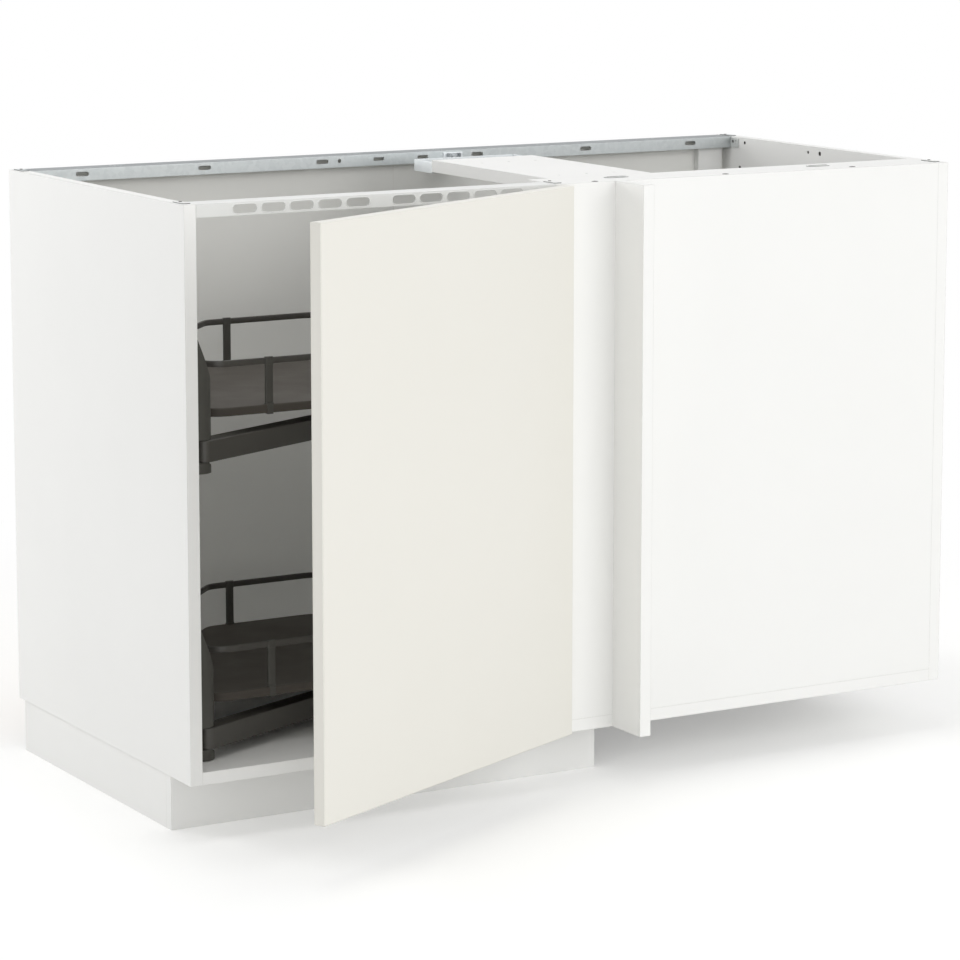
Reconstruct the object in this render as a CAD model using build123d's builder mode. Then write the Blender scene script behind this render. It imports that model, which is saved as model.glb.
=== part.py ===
from build123d import *
from math import atan2, cos, degrees, radians, sin
import os

# Kitchen base cabinet for a blind corner, with a hinged door and two trays that swing out.
# Millimetres, X to the right along the front, Y to the back, Z up.
# The origin is the floor point under the front left corner of the carcass.
os.makedirs("parts", exist_ok=True)

# Carcass boards.
carcass_width = 1275.0
carcass_depth = 600.0
carcass_height = 800.0
base_height = 80.0
board = 18.0
carcass_top = base_height + carcass_height
top_under = carcass_top - board
floor_top = base_height + board
inner_right = carcass_width - board

# Back sheets, held in grooves of the sides and the bottom board.
back_sheet = 3.0
back_inset = 15.0
groove_depth = 6.0
groove_play = 0.2
back_face = carcass_depth - back_inset - back_sheet
back_joint = carcass_width / 2
batten_width = 46.0
batten_thick = 12.0
batten_gap = 10.0

# Doorway and the post that carries the hinges.
doorway = 564.0
doorway_right = board + doorway
post_depth = 74.0

# Boards across the top.
strip_depth = 62.0
strip_slot_length = 30.0
strip_slot_width = 7.0
strip_slot_inset = 113.0
strip_slot_pitch = 356.0
brace_width = 178.0
brace_offset = 34.0
brace_back_gap = 136.8
brace_hole_radius = 2.5
brace_hole_pitch = 47.0
brace_hole_rows = 223.0
brace_hole_inset = 38.0

# Filler board that stands out from the front.
filler_offset = 99.0
filler_left = doorway_right + filler_offset
filler_reach = 75.0

# Pressed steel rails along the top.
rail_sheet = 1.2
rail_height = 18.0
rail_depth = 40.0
rail_end_gap = 0.3
vent_length = 36.0
vent_height = 12.0
vent_pitch = 43.3
vent_count = 5
vent_group_gap = 72.0
back_rail_gap = 43.2
back_rail_face = carcass_depth - back_rail_gap
rail_slot_length = 21.0
rail_slot_height = 6.5
rail_slot_first = 81.0
rail_slot_last = 137.5
rail_slot_count = 3
splice_slot_offset = 39.0
splice_slot_length = 18.0
splice_slot_height = 5.0
splice_length = 120.0
rail_hole_offset = 108.0
rail_hole_radius = 3.0
flange_slot_shift = 66.0
flange_slot_length = 24.0
flange_slot_width = 5.0
tab_length = 28.0

# Small steel brackets of the back rail.
bracket_sheet = 1.5
end_plate_reach = 22.0
end_plate_hole = 2.6
end_plate_hole_front = 7.0
end_plate_hole_back = 6.0
end_plate_tab = 26.0
brace_channel_depth = 58.0
brace_channel_height = 17.0
tongue_width = 34.0
clamp_offset = 114.0
clamp_hook = 6.0
clamp_width = 20.0
clamp_height = 13.0

# Fixing holes inside the blind end, from the back rail's face and the top.
seat_hole_radius = 3.5
seat_hole_small = 2.5
seat_hole_front = 248.8
seat_hole_middle = 216.8
seat_hole_back = 24.8
seat_hole_top = 10.0
seat_hole_drop = 50.0
seat_hole_depth = 11.0

# Screws and dowels.
screw_radius = 2.0
screw_head_radius = 4.0
screw_head = 2.0
screw_length = 14.0
dowel_radius = 4.0
dowel_length = 34.0
dowel_inset = 50.0
fit_play = 0.05

# Plinth and feet.
plinth_thick = 16.0
plinth_setback = 75.0
plinth_left = 5.0
plinth_right = filler_left + plinth_thick
plinth_top_gap = 1.0
plinth_back_gap = 10.0
leg_radius = 16.0
leg_foot_radius = 26.0
leg_foot = 9.0
leg_cap = 4.0
leg_cap_side = 62.0
leg_inset = 60.0
leg_front = 124.0
leg_back = 540.0
leg_middle_inset = 57.0
leg_middle = plinth_right - leg_middle_inset
leg_blind_front = 330.0
clip_wall = 2.5
clip_height = 24.0
clip_level = 34.0
clip_stem = 14.0

# Door, standing open as photographed.
door_overlap = 15.0
door_width = doorway_right + door_overlap
door_thick = 18.0
door_gap = 3.5
door_reveal = 1.5
door_rise = 1.5
door_height = carcass_height - 2 * door_rise
door_open = 25.5
door_edge = 1.2
hinge_overhang = 7.5
hinge_sink = 8.5
bumper_radius = 5.0
bumper_gap = 0.4
bumper_inset = 22.0

# Cup hinges.
hinge_bottom_inset = 55.0
hinge_top_inset = 80.0
hinge_levels = (base_height + hinge_bottom_inset, carcass_top - hinge_top_inset)
cup_radius = 17.5
cup_edge = 2.5
cup_depth = 13.5
cup_wall = 0.9
flange_sheet = 1.0
flange_width = 30.0
flange_height = 64.0
flange_reach = 13.0
flange_round = 5.0
flange_screw_pitch = 48.0
flange_screw_offset = 9.5
hinge_pin_radius = 1.5
hinge_pin_length = 20.4
hinge_eye_radius = 3.0
hinge_arm_height = 8.0
hinge_arm_sheet = 2.0
hinge_reach = 18.5
hinge_arm_bend = 4.0
hinge_relief = 5.0
plate_sheet = 2.0
plate_front = 28.0
plate_length = 40.0
plate_height = 46.0
plate_screw_pitch = 32.0
arm_block_width = 5.0
arm_block_height = 15.0
arm_line_gap = 5.0

# Swing arms and their brackets on the left side.
arm_pivot_x = 56.0
arm_pivot_y = 64.0
arm_length = 340.0
arm_angle = 24.0
arm_width = 28.0
arm_height = 30.0
arm_wall = 3.0
arm_levels = (115.0, 519.0)
arm_pin_radius = 6.0
bracket_reach = 50.0
bracket_depth = 38.0
bracket_front = 14.0
bracket_height = 192.0
bracket_below = 16.0
bracket_foot = 9.0
bracket_foot_edge = 3.0
bracket_step = 4.0
bracket_step_height = 3.0
bracket_top_slope = 71.0
bracket_top_reach = 22.0
bracket_round = 20.0
bracket_back_round = 4.0
bracket_notch = 22.0
bracket_shell = 3.0
bracket_screw_top = 30.0
bracket_screw_pitch = 50.0
bracket_line_drop = 96.0
bracket_line = 1.2
swing_gap = 0.6

# Trays.
deck_thick = 12.0
deck_lift = 23.0
tray_side_gap = 58.0
tray_front = 96.0
tray_back_gap = 82.0
tray_right = 866.0
tray_edge = 2.0
tray_side_drop = 200.0
tray_shoulder = 190.0
tray_shoulder_drop = 2.0
tail_shoulder = 416.0
tail_start = 266.0
tail_drop = 92.0
tail_end_drop = 108.0
tail_front = 126.0
tail_waist = 136.0
tail_waist_front = 96.0
post_waist = 190.0
post_waist_front = 150.0
lobe_end = 306.0
hub_radius = 30.0
hub_gap = 1.0
tray_pin_radius = 8.0
tray_pin_head = 13.0
tray_pin_foot = 3.0
guard_top = 66.0
guard_height = 9.0
guard_thick = 3.5
guard_inset = 2.0
guard_post_width = 11.0
guard_post_count = 10
guard_post_first = 0.078
guard_post_pitch = 0.096

# Places that follow from the sizes.
brace_left = doorway_right + brace_offset
brace_front = board + strip_depth
brace_length = back_rail_face - brace_back_gap - brace_front
clamp_x = brace_left + clamp_offset
rail_slot_span = back_joint - rail_slot_last - board - rail_slot_first
rail_slot_pitch = rail_slot_span / (rail_slot_count - 1)
hinge_x = door_reveal + door_width - hinge_overhang
hinge_y = -door_gap - hinge_sink
door_cos = cos(radians(door_open))
door_sin = sin(radians(door_open))
cup_offset = cup_radius + cup_edge - hinge_overhang
tray_left = board + tray_side_gap
tray_back = back_face - tray_back_gap
arm_cos = cos(radians(arm_angle))
arm_sin = sin(radians(arm_angle))
tray_pivot_x = arm_pivot_x + arm_length * arm_cos
tray_pivot_y = arm_pivot_y + arm_length * arm_sin


def door_plane(level):
    # Lies flat at a height, from the hinge pin with X along the door to its free edge.
    return Plane(origin=(hinge_x, hinge_y, level), x_dir=(-door_cos, -door_sin, 0), z_dir=(0, 0, 1))


def door_back(level):
    # Lies on the door's back face beside the pin, X to the free edge, Y up, Z into the cabinet.
    return Plane(
        origin=(hinge_x - door_sin * hinge_sink, hinge_y + door_cos * hinge_sink, level),
        x_dir=(-door_cos, -door_sin, 0),
        z_dir=(-door_sin, door_cos, 0),
    )


def arm_plane(level):
    # Lies flat at a height, from the arm's pivot with X along the arm.
    return Plane(origin=(arm_pivot_x, arm_pivot_y, level), x_dir=(arm_cos, arm_sin, 0), z_dir=(0, 0, 1))


def save(piece, name):
    piece.part.label = name
    export_step(piece.part, f"parts/{name}.step")


# Dowels tie the bottom board to the sides.
dowel_rows = (dowel_inset, carcass_depth / 2, carcass_depth - dowel_inset)
dowel_level = base_height + board / 2

# Screws of the tray brackets, two for each, through the bracket into the side.
bracket_tops = [level - bracket_below + bracket_height for level in arm_levels]
bracket_screw_levels = [
    level
    for top in bracket_tops
    for level in (top - bracket_screw_top, top - bracket_screw_top - bracket_screw_pitch)
]

with BuildPart() as side_left:
    with BuildSketch(Plane.XY.offset(base_height)):
        Rectangle(board, carcass_depth, align=(Align.MIN, Align.MIN))
        with Locations((board - groove_depth, back_face - groove_play)):
            Rectangle(
                groove_depth,
                back_sheet + 2 * groove_play,
                align=(Align.MIN, Align.MIN),
                mode=Mode.SUBTRACT,
            )
    extrude(amount=carcass_height)
    with BuildSketch(Plane.YZ.offset(board)):
        with Locations(*[(row, dowel_level) for row in dowel_rows]):
            Circle(dowel_radius + fit_play)
    extrude(amount=-(dowel_length - board), mode=Mode.SUBTRACT)
    with BuildSketch(Plane.YZ.offset(board)):
        with Locations(*[(arm_pivot_y, level) for level in bracket_screw_levels]):
            Circle(screw_radius + fit_play)
    extrude(amount=-screw_length, mode=Mode.SUBTRACT)
save(side_left, "side_left")

# The right side has the two rows of fixing holes that show inside the blind end.
with BuildPart() as side_right:
    with BuildSketch(Plane.XY.offset(base_height)):
        with Locations((inner_right, 0)):
            Rectangle(board, carcass_depth, align=(Align.MIN, Align.MIN))
        with Locations((inner_right, back_face - groove_play)):
            Rectangle(
                groove_depth,
                back_sheet + 2 * groove_play,
                align=(Align.MIN, Align.MIN),
                mode=Mode.SUBTRACT,
            )
    extrude(amount=carcass_height)
    with BuildSketch(Plane.YZ.offset(inner_right)):
        with Locations(*[(row, dowel_level) for row in dowel_rows]):
            Circle(dowel_radius + fit_play)
    extrude(amount=dowel_length - board, mode=Mode.SUBTRACT)
    with BuildSketch(Plane.YZ.offset(inner_right)):
        with Locations(
            (back_rail_face - seat_hole_front, carcass_top - seat_hole_top),
            (back_rail_face - seat_hole_back, carcass_top - seat_hole_drop),
        ):
            Circle(seat_hole_radius)
        with Locations((back_rail_face - seat_hole_middle, carcass_top - seat_hole_top)):
            Circle(seat_hole_small)
    extrude(amount=seat_hole_depth, mode=Mode.SUBTRACT)
save(side_right, "side_right")

with BuildPart() as bottom_board:
    with BuildSketch(Plane.XY.offset(base_height)):
        with Locations((board, 0)):
            Rectangle(inner_right - board, carcass_depth, align=(Align.MIN, Align.MIN))
    extrude(amount=board)
    with BuildSketch(Plane.XY.offset(floor_top)):
        with Locations((board, back_face - groove_play)):
            Rectangle(inner_right - board, back_sheet + 2 * groove_play, align=(Align.MIN, Align.MIN))
    extrude(amount=-groove_depth, mode=Mode.SUBTRACT)
    for end, way in ((board, 1), (inner_right, -1)):
        with BuildSketch(Plane.YZ.offset(end)):
            with Locations(*[(row, dowel_level) for row in dowel_rows]):
                Circle(dowel_radius + fit_play)
        extrude(amount=way * (board + 1), mode=Mode.SUBTRACT)
save(bottom_board, "bottom_board")

with BuildPart() as base_dowels:
    for start in (2 * board - dowel_length, inner_right - board):
        with BuildSketch(Plane.YZ.offset(start)):
            with Locations(*[(row, dowel_level) for row in dowel_rows]):
                Circle(dowel_radius)
        extrude(amount=dowel_length)
save(base_dowels, "base_dowels")

# The back is two sheets that meet behind a joint strip.
back_left_edge = board - groove_depth + groove_play
back_base = floor_top - groove_depth + groove_play
back_rise = carcass_top - rail_sheet - 1 - back_base

with BuildPart() as back_sheet_left:
    with BuildSketch(Plane.XY.offset(back_base)):
        with Locations((back_left_edge, back_face)):
            Rectangle(back_joint - back_left_edge, back_sheet, align=(Align.MIN, Align.MIN))
    extrude(amount=back_rise)
save(back_sheet_left, "back_sheet_left")

with BuildPart() as back_sheet_right:
    with BuildSketch(Plane.XY.offset(back_base)):
        with Locations((back_joint, back_face)):
            Rectangle(
                carcass_width - back_left_edge - back_joint,
                back_sheet,
                align=(Align.MIN, Align.MIN),
            )
    extrude(amount=back_rise)
save(back_sheet_right, "back_sheet_right")

with BuildPart() as back_joint_strip:
    with BuildSketch(Plane.XY.offset(floor_top)):
        with Locations((back_joint, back_face + back_sheet)):
            Rectangle(batten_width, back_sheet, align=(Align.CENTER, Align.MIN))
    extrude(amount=top_under - floor_top)
save(back_joint_strip, "back_joint_strip")

with BuildPart() as back_batten:
    with BuildSketch(Plane.XY.offset(floor_top)):
        with Locations((inner_right - batten_gap, back_face)):
            Rectangle(batten_width, batten_thick, align=(Align.MAX, Align.MAX))
    extrude(amount=top_under - floor_top)
save(back_batten, "back_batten")

# Fixed front of the blind half, standing on the bottom board.
with BuildPart() as blind_panel:
    with BuildSketch(Plane.XY.offset(floor_top)):
        with Locations((doorway_right, 0)):
            Rectangle(inner_right - doorway_right, board, align=(Align.MIN, Align.MIN))
    extrude(amount=carcass_top - floor_top)
save(blind_panel, "blind_panel")

with BuildPart() as hinge_post:
    with BuildSketch(Plane.XY.offset(floor_top)):
        with Locations((doorway_right, board)):
            Rectangle(board, post_depth, align=(Align.MIN, Align.MIN))
    extrude(amount=top_under - floor_top)
    with BuildSketch(Plane.YZ.offset(doorway_right)):
        for level in hinge_levels:
            with Locations((plate_front + plate_length / 2, level)):
                with GridLocations(0, plate_screw_pitch, 1, 2):
                    Circle(screw_radius + fit_play)
    extrude(amount=screw_length, mode=Mode.SUBTRACT)
save(hinge_post, "hinge_post")

with BuildPart() as top_strip:
    with BuildSketch(Plane.XY.offset(top_under)):
        with Locations((doorway_right, board)):
            Rectangle(inner_right - doorway_right, strip_depth, align=(Align.MIN, Align.MIN))
        with Locations(
            (doorway_right + board + strip_slot_inset, board + strip_depth / 2),
            (doorway_right + board + strip_slot_inset + strip_slot_pitch, board + strip_depth / 2),
        ):
            SlotOverall(strip_slot_length, strip_slot_width, mode=Mode.SUBTRACT)
    extrude(amount=board)
save(top_strip, "top_strip")

# Brace board from the strip towards the back rail, drilled for the worktop screws.
brace_middle = brace_left + brace_width / 2
brace_row_middle = brace_front + brace_hole_inset + brace_hole_rows / 2

with BuildPart() as brace_board:
    with BuildSketch(Plane.XY.offset(top_under)):
        with Locations((brace_left, brace_front)):
            Rectangle(brace_width, brace_length, align=(Align.MIN, Align.MIN))
        with Locations((brace_middle, brace_row_middle)):
            with GridLocations(brace_hole_pitch, brace_hole_rows, 3, 2):
                Circle(brace_hole_radius, mode=Mode.SUBTRACT)
    extrude(amount=board)
save(brace_board, "brace_board")

with BuildPart() as filler_board:
    with BuildSketch(Plane.XY.offset(base_height)):
        with Locations((filler_left, 0)):
            Rectangle(board, filler_reach, align=(Align.MIN, Align.MAX))
    extrude(amount=carcass_height)
save(filler_board, "filler_board")

# Front rail: an angle with two groups of vent slots and a folded tab at each end.
vent_level = carcass_top - rail_height / 2
vent_span = (vent_count - 1) * vent_pitch
vent_shift = (vent_span + vent_group_gap) / 2
rail_left = board + rail_end_gap
rail_right = doorway_right - rail_end_gap

with BuildPart() as front_rail:
    with BuildSketch(Plane.YZ.offset(rail_left)):
        with BuildLine():
            Polyline(
                (0, carcass_top),
                (rail_depth, carcass_top),
                (rail_depth, carcass_top - rail_sheet),
                (rail_sheet, carcass_top - rail_sheet),
                (rail_sheet, top_under),
                (0, top_under),
                close=True,
            )
        make_face()
    extrude(amount=rail_right - rail_left)
    for end, way in ((rail_left, 1), (rail_right, -1)):
        with BuildSketch(Plane.YZ.offset(end)):
            with Locations((0, top_under)):
                Rectangle(tab_length, rail_height - rail_sheet, align=(Align.MIN, Align.MIN))
        extrude(amount=way * rail_sheet)
    with BuildSketch(Plane.XZ):
        for side in (-1, 1):
            with Locations(((board + doorway_right) / 2 + side * vent_shift, vent_level)):
                with GridLocations(vent_pitch, 0, vent_count, 1):
                    SlotOverall(vent_length, vent_height)
    extrude(amount=-rail_sheet, mode=Mode.SUBTRACT)
save(front_rail, "front_rail")

# Back rail: a left half and its mirror image, joined behind the middle.
back_rail_left_end = board + bracket_sheet + rail_end_gap
slot_level = carcass_top - rail_height / 2 + 1.0

with BuildPart() as back_rail_left:
    with BuildSketch(Plane.YZ.offset(back_rail_left_end)):
        with BuildLine():
            Polyline(
                (back_rail_face, carcass_top),
                (back_rail_face + rail_depth, carcass_top),
                (back_rail_face + rail_depth, carcass_top - rail_sheet),
                (back_rail_face + rail_sheet, carcass_top - rail_sheet),
                (back_rail_face + rail_sheet, top_under),
                (back_rail_face, top_under),
                close=True,
            )
        make_face()
    extrude(amount=back_joint - back_rail_left_end)
    with BuildSketch(Plane.XZ.offset(-back_rail_face)):
        for index in range(rail_slot_count):
            with Locations((board + rail_slot_first + index * rail_slot_pitch, slot_level)):
                SlotOverall(rail_slot_length, rail_slot_height)
        with Locations((back_joint - splice_slot_offset, slot_level)):
            Rectangle(splice_slot_length, splice_slot_height)
        with Locations((back_joint - rail_hole_offset, slot_level)):
            Circle(rail_hole_radius)
    extrude(amount=-rail_sheet, mode=Mode.SUBTRACT)
    with BuildSketch(Plane.XY.offset(carcass_top)):
        for index in range(rail_slot_count):
            slot_x = board + rail_slot_first + flange_slot_shift + index * rail_slot_pitch
            with Locations((slot_x, back_rail_face + rail_depth * 0.6)):
                SlotOverall(flange_slot_length, flange_slot_width)
    extrude(amount=-rail_sheet, mode=Mode.SUBTRACT)
save(back_rail_left, "back_rail_left")

with BuildPart() as back_rail_right:
    add(back_rail_left.part.mirror(Plane.YZ.offset(back_joint)))
save(back_rail_right, "back_rail_right")

with BuildPart() as rail_splice:
    with BuildSketch(Plane.XY.offset(top_under + 1)):
        with Locations((back_joint, back_rail_face + rail_sheet)):
            Rectangle(splice_length, bracket_sheet, align=(Align.CENTER, Align.MIN))
    extrude(amount=rail_height - rail_sheet - 2)
    with BuildSketch(Plane.XZ.offset(-back_rail_face)):
        for side in (-1, 1):
            with Locations((back_joint + side * splice_slot_offset, slot_level)):
                Rectangle(splice_slot_length, splice_slot_height)
    extrude(amount=-(rail_sheet + bracket_sheet), mode=Mode.SUBTRACT)
save(rail_splice, "rail_splice")

# Angle plates screw the ends of the back rail to the sides.
end_plate_front = back_rail_face - end_plate_reach
end_plate_length = back_face - end_plate_front - 1

with BuildPart() as rail_plate_left:
    with BuildSketch(Plane.XY.offset(top_under + 1)):
        with Locations((board, end_plate_front)):
            Rectangle(bracket_sheet, end_plate_length, align=(Align.MIN, Align.MIN))
        with Locations((board, back_rail_face + rail_sheet)):
            Rectangle(end_plate_tab, bracket_sheet, align=(Align.MIN, Align.MIN))
    extrude(amount=rail_height - rail_sheet - 2)
    with BuildSketch(Plane.YZ.offset(board)):
        with Locations(
            (end_plate_front + end_plate_hole_front, slot_level),
            (back_rail_face - end_plate_hole_back, slot_level),
        ):
            Circle(end_plate_hole)
    extrude(amount=bracket_sheet, mode=Mode.SUBTRACT)
save(rail_plate_left, "rail_plate_left")

with BuildPart() as rail_plate_right:
    add(rail_plate_left.part.mirror(Plane.YZ.offset(back_joint)))
save(rail_plate_right, "rail_plate_right")

# Folded steel channel behind the brace board, with a tongue to the back rail.
channel_front = brace_front + brace_length
channel_base = top_under - 2.0
channel_top = channel_base + brace_channel_height

with BuildPart() as brace_channel:
    with BuildSketch(Plane.XY.offset(channel_base)):
        with Locations((brace_left, channel_front)):
            Rectangle(brace_width, brace_channel_depth, align=(Align.MIN, Align.MIN))
        with Locations((brace_left + bracket_sheet, channel_front + bracket_sheet)):
            Rectangle(
                brace_width - 2 * bracket_sheet,
                brace_channel_depth - 2 * bracket_sheet,
                align=(Align.MIN, Align.MIN),
                mode=Mode.SUBTRACT,
            )
    extrude(amount=brace_channel_height)
    fillet(brace_channel.edges().filter_by(Axis.Z).group_by(Axis.Y)[-1], radius=4)
    with BuildSketch(Plane.YZ.offset(clamp_x - tongue_width / 2)):
        with BuildLine():
            Polyline(
                (channel_front + brace_channel_depth - bracket_sheet, channel_base),
                (back_rail_face, channel_base),
                (back_rail_face, channel_top),
                (back_rail_face - bracket_sheet, channel_top),
                (back_rail_face - bracket_sheet, channel_base + bracket_sheet),
                (channel_front + brace_channel_depth - bracket_sheet, channel_base + bracket_sheet),
                close=True,
            )
        make_face()
    extrude(amount=tongue_width)
save(brace_channel, "brace_channel")

# Clamp that holds the tongue to the rail, with two hooks up to the rail's top.
with BuildPart() as rail_clamp:
    with BuildSketch(Plane.XY.offset(top_under + 1)):
        with Locations((clamp_x, back_rail_face - bracket_sheet)):
            Rectangle(clamp_width, 2 * bracket_sheet, align=(Align.CENTER, Align.MAX))
    extrude(amount=clamp_height)
    with BuildSketch(Plane.XY.offset(top_under + 1)):
        with Locations((clamp_x, back_rail_face - 3 * bracket_sheet)):
            with GridLocations(clamp_width - bracket_sheet, 0, 2, 1):
                Rectangle(bracket_sheet, clamp_hook, align=(Align.CENTER, Align.MAX))
    extrude(amount=clamp_height)
    with BuildSketch(Plane.XZ.offset(3 * bracket_sheet - back_rail_face)):
        with Locations((clamp_x, top_under + 1 + clamp_height / 2)):
            Circle(screw_head_radius)
    extrude(amount=3)
save(rail_clamp, "rail_clamp")

# Plinth: a front board, and a return along the left side.
plinth_height = base_height - plinth_top_gap

with BuildPart() as plinth_front:
    with BuildSketch(Plane.XY):
        with Locations((plinth_left, plinth_setback)):
            Rectangle(plinth_right - plinth_left, plinth_thick, align=(Align.MIN, Align.MIN))
    extrude(amount=plinth_height)
save(plinth_front, "plinth_front")

plinth_side_front = plinth_setback + plinth_thick

with BuildPart() as plinth_side:
    with BuildSketch(Plane.XY):
        with Locations((plinth_left, plinth_side_front)):
            Rectangle(
                plinth_thick,
                carcass_depth - plinth_back_gap - plinth_side_front,
                align=(Align.MIN, Align.MIN),
            )
    extrude(amount=plinth_height)
save(plinth_side, "plinth_side")

# Feet under the carcass, each a turned body with a square cap, and the plinth's clips.
leg_places = (
    (leg_inset, leg_front),
    (leg_middle, leg_front),
    (leg_inset, leg_back),
    (leg_middle, leg_back),
    (carcass_width - leg_inset, leg_blind_front),
    (carcass_width - leg_inset, leg_back),
)

with BuildPart() as legs:
    with BuildSketch(Plane.XY):
        with Locations(*leg_places):
            Circle(leg_foot_radius)
    extrude(amount=leg_foot)
    chamfer(legs.edges().group_by(Axis.Z)[-1], length=3)
    with BuildSketch(Plane.XY.offset(leg_foot)):
        with Locations(*leg_places):
            Circle(leg_radius)
    extrude(amount=base_height - leg_foot - leg_cap)
    with BuildSketch(Plane.XY.offset(base_height - leg_cap)):
        with Locations(*leg_places):
            RectangleRounded(leg_cap_side, leg_cap_side, 8)
    extrude(amount=leg_cap)
save(legs, "legs")

with BuildPart() as plinth_clips:
    with BuildSketch(Plane.XY.offset(clip_level)):
        with Locations((leg_inset, leg_front), (leg_middle, leg_front)):
            Circle(leg_radius + fit_play + clip_wall)
            with Locations((0, plinth_side_front - leg_front)):
                Rectangle(
                    clip_stem,
                    leg_front - plinth_side_front,
                    align=(Align.CENTER, Align.MIN),
                )
            Circle(leg_radius + fit_play, mode=Mode.SUBTRACT)
            with Locations((0, leg_radius + clip_wall)):
                Rectangle(leg_radius * 1.4, leg_radius, mode=Mode.SUBTRACT)
    extrude(amount=clip_height)
save(plinth_clips, "plinth_clips")

# Door panel, with its cup holes and a relief where each hinge arm comes out at full swing.
cup_screw_places = [
    (cup_offset + flange_screw_offset, side * flange_screw_pitch / 2)
    for side in (-1, 1)
]

with BuildPart() as door_panel:
    with BuildSketch(door_plane(base_height + door_rise)):
        with Locations((-hinge_overhang, -hinge_sink)):
            Rectangle(door_width, door_thick, align=(Align.MIN, Align.MIN))
    extrude(amount=door_height)
    chamfer(door_panel.edges(), length=door_edge)
    for level in hinge_levels:
        with BuildSketch(door_back(level)):
            with Locations((cup_offset, 0)):
                Circle(cup_radius)
        extrude(amount=-cup_depth, mode=Mode.SUBTRACT)
        with BuildSketch(door_back(level)):
            with Locations((-hinge_relief, 0)):
                Rectangle(
                    cup_offset,
                    hinge_arm_height + 1.2,
                    align=(Align.MIN, Align.CENTER),
                )
        extrude(amount=-hinge_sink, mode=Mode.SUBTRACT)
        with BuildSketch(door_back(level)):
            with Locations(*cup_screw_places):
                Circle(screw_radius + fit_play)
        extrude(amount=-(screw_length - screw_head), mode=Mode.SUBTRACT)
save(door_panel, "door_panel")

# Hinge cups, let into the door's back.
with BuildPart() as hinge_cups:
    for level in hinge_levels:
        with BuildSketch(door_back(level)):
            with Locations((cup_offset, 0)):
                Circle(cup_radius - fit_play)
        extrude(amount=fit_play - cup_depth)
        with BuildSketch(door_back(level)):
            with Locations((cup_offset - cup_radius + 1, 0)):
                Rectangle(2 * cup_radius - 2, flange_width, align=(Align.MIN, Align.CENTER))
            with Locations((cup_offset + flange_screw_offset, 0)):
                RectangleRounded(flange_reach, flange_height, flange_round)
        extrude(amount=flange_sheet)
        with BuildSketch(door_back(level).offset(flange_sheet)):
            with Locations((cup_offset, 0)):
                Circle(cup_radius - fit_play - cup_wall)
        extrude(amount=cup_wall - cup_depth - flange_sheet, mode=Mode.SUBTRACT)
        with BuildSketch(door_back(level).offset(flange_sheet)):
            with Locations((-hinge_relief, 0)):
                Rectangle(cup_offset, hinge_arm_height + 1.2, align=(Align.MIN, Align.CENTER))
        extrude(amount=-hinge_sink - flange_sheet, mode=Mode.SUBTRACT)
        with BuildSketch(door_plane(level - hinge_pin_length / 2)):
            Circle(hinge_pin_radius)
        extrude(amount=hinge_pin_length, mode=Mode.SUBTRACT)
        with BuildSketch(door_back(level).offset(flange_sheet)):
            with Locations(*cup_screw_places):
                Circle(screw_radius + fit_play)
        extrude(amount=-flange_sheet, mode=Mode.SUBTRACT)
save(hinge_cups, "hinge_cups")

with BuildPart() as hinge_pins:
    for level in hinge_levels:
        with BuildSketch(door_plane(level - hinge_pin_length / 2)):
            Circle(hinge_pin_radius)
        extrude(amount=hinge_pin_length)
save(hinge_pins, "hinge_pins")

with BuildPart() as cup_screws:
    for level in hinge_levels:
        with BuildSketch(door_back(level).offset(flange_sheet)):
            with Locations(*cup_screw_places):
                Circle(screw_head_radius)
        extrude(amount=screw_head)
        with BuildSketch(door_back(level).offset(flange_sheet)):
            with Locations(*cup_screw_places):
                Circle(screw_radius)
        extrude(amount=screw_head - screw_length)
save(cup_screws, "cup_screws")

# Cranked hinge arms on the post, running out of the cups and back to the mounting plates.
arm_line_x = doorway_right - arm_line_gap
crank_x = hinge_x - hinge_reach

with BuildPart() as hinge_arms:
    for level in hinge_levels:
        with BuildSketch(Plane.XY.offset(level - hinge_arm_height / 2)):
            with BuildLine():
                FilletPolyline(
                    (hinge_x, hinge_y),
                    (crank_x, hinge_y),
                    (crank_x, hinge_arm_bend),
                    (arm_line_x, hinge_arm_bend + 8),
                    (arm_line_x, plate_front + plate_length - 6),
                    radius=2.5,
                )
            trace(line_width=hinge_arm_sheet)
            with Locations((hinge_x, hinge_y)):
                Circle(hinge_eye_radius)
                Circle(hinge_pin_radius + fit_play, mode=Mode.SUBTRACT)
        extrude(amount=hinge_arm_height)
        with BuildSketch(Plane.XY.offset(level - arm_block_height / 2)):
            with Locations((doorway_right - plate_sheet, plate_front - 4)):
                Rectangle(arm_block_width, plate_length - 2, align=(Align.MAX, Align.MIN))
        extrude(amount=arm_block_height)
save(hinge_arms, "hinge_arms")

with BuildPart() as hinge_plates:
    for level in hinge_levels:
        with BuildSketch(Plane.YZ.offset(doorway_right)):
            with Locations((plate_front + plate_length / 2, level)):
                Rectangle(plate_length, arm_block_height)
                RectangleRounded(14, plate_height, 5)
                with GridLocations(0, plate_screw_pitch, 1, 2):
                    Circle(screw_radius + fit_play, mode=Mode.SUBTRACT)
        extrude(amount=-plate_sheet)
save(hinge_plates, "hinge_plates")

with BuildPart() as plate_screws:
    for level in hinge_levels:
        with BuildSketch(Plane.YZ.offset(doorway_right - plate_sheet)):
            with Locations((plate_front + plate_length / 2, level)):
                with GridLocations(0, plate_screw_pitch, 1, 2):
                    Circle(screw_head_radius)
        extrude(amount=-screw_head)
        with BuildSketch(Plane.YZ.offset(doorway_right - plate_sheet)):
            with Locations((plate_front + plate_length / 2, level)):
                with GridLocations(0, plate_screw_pitch, 1, 2):
                    Circle(screw_radius)
        extrude(amount=screw_length)
save(plate_screws, "plate_screws")

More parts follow.
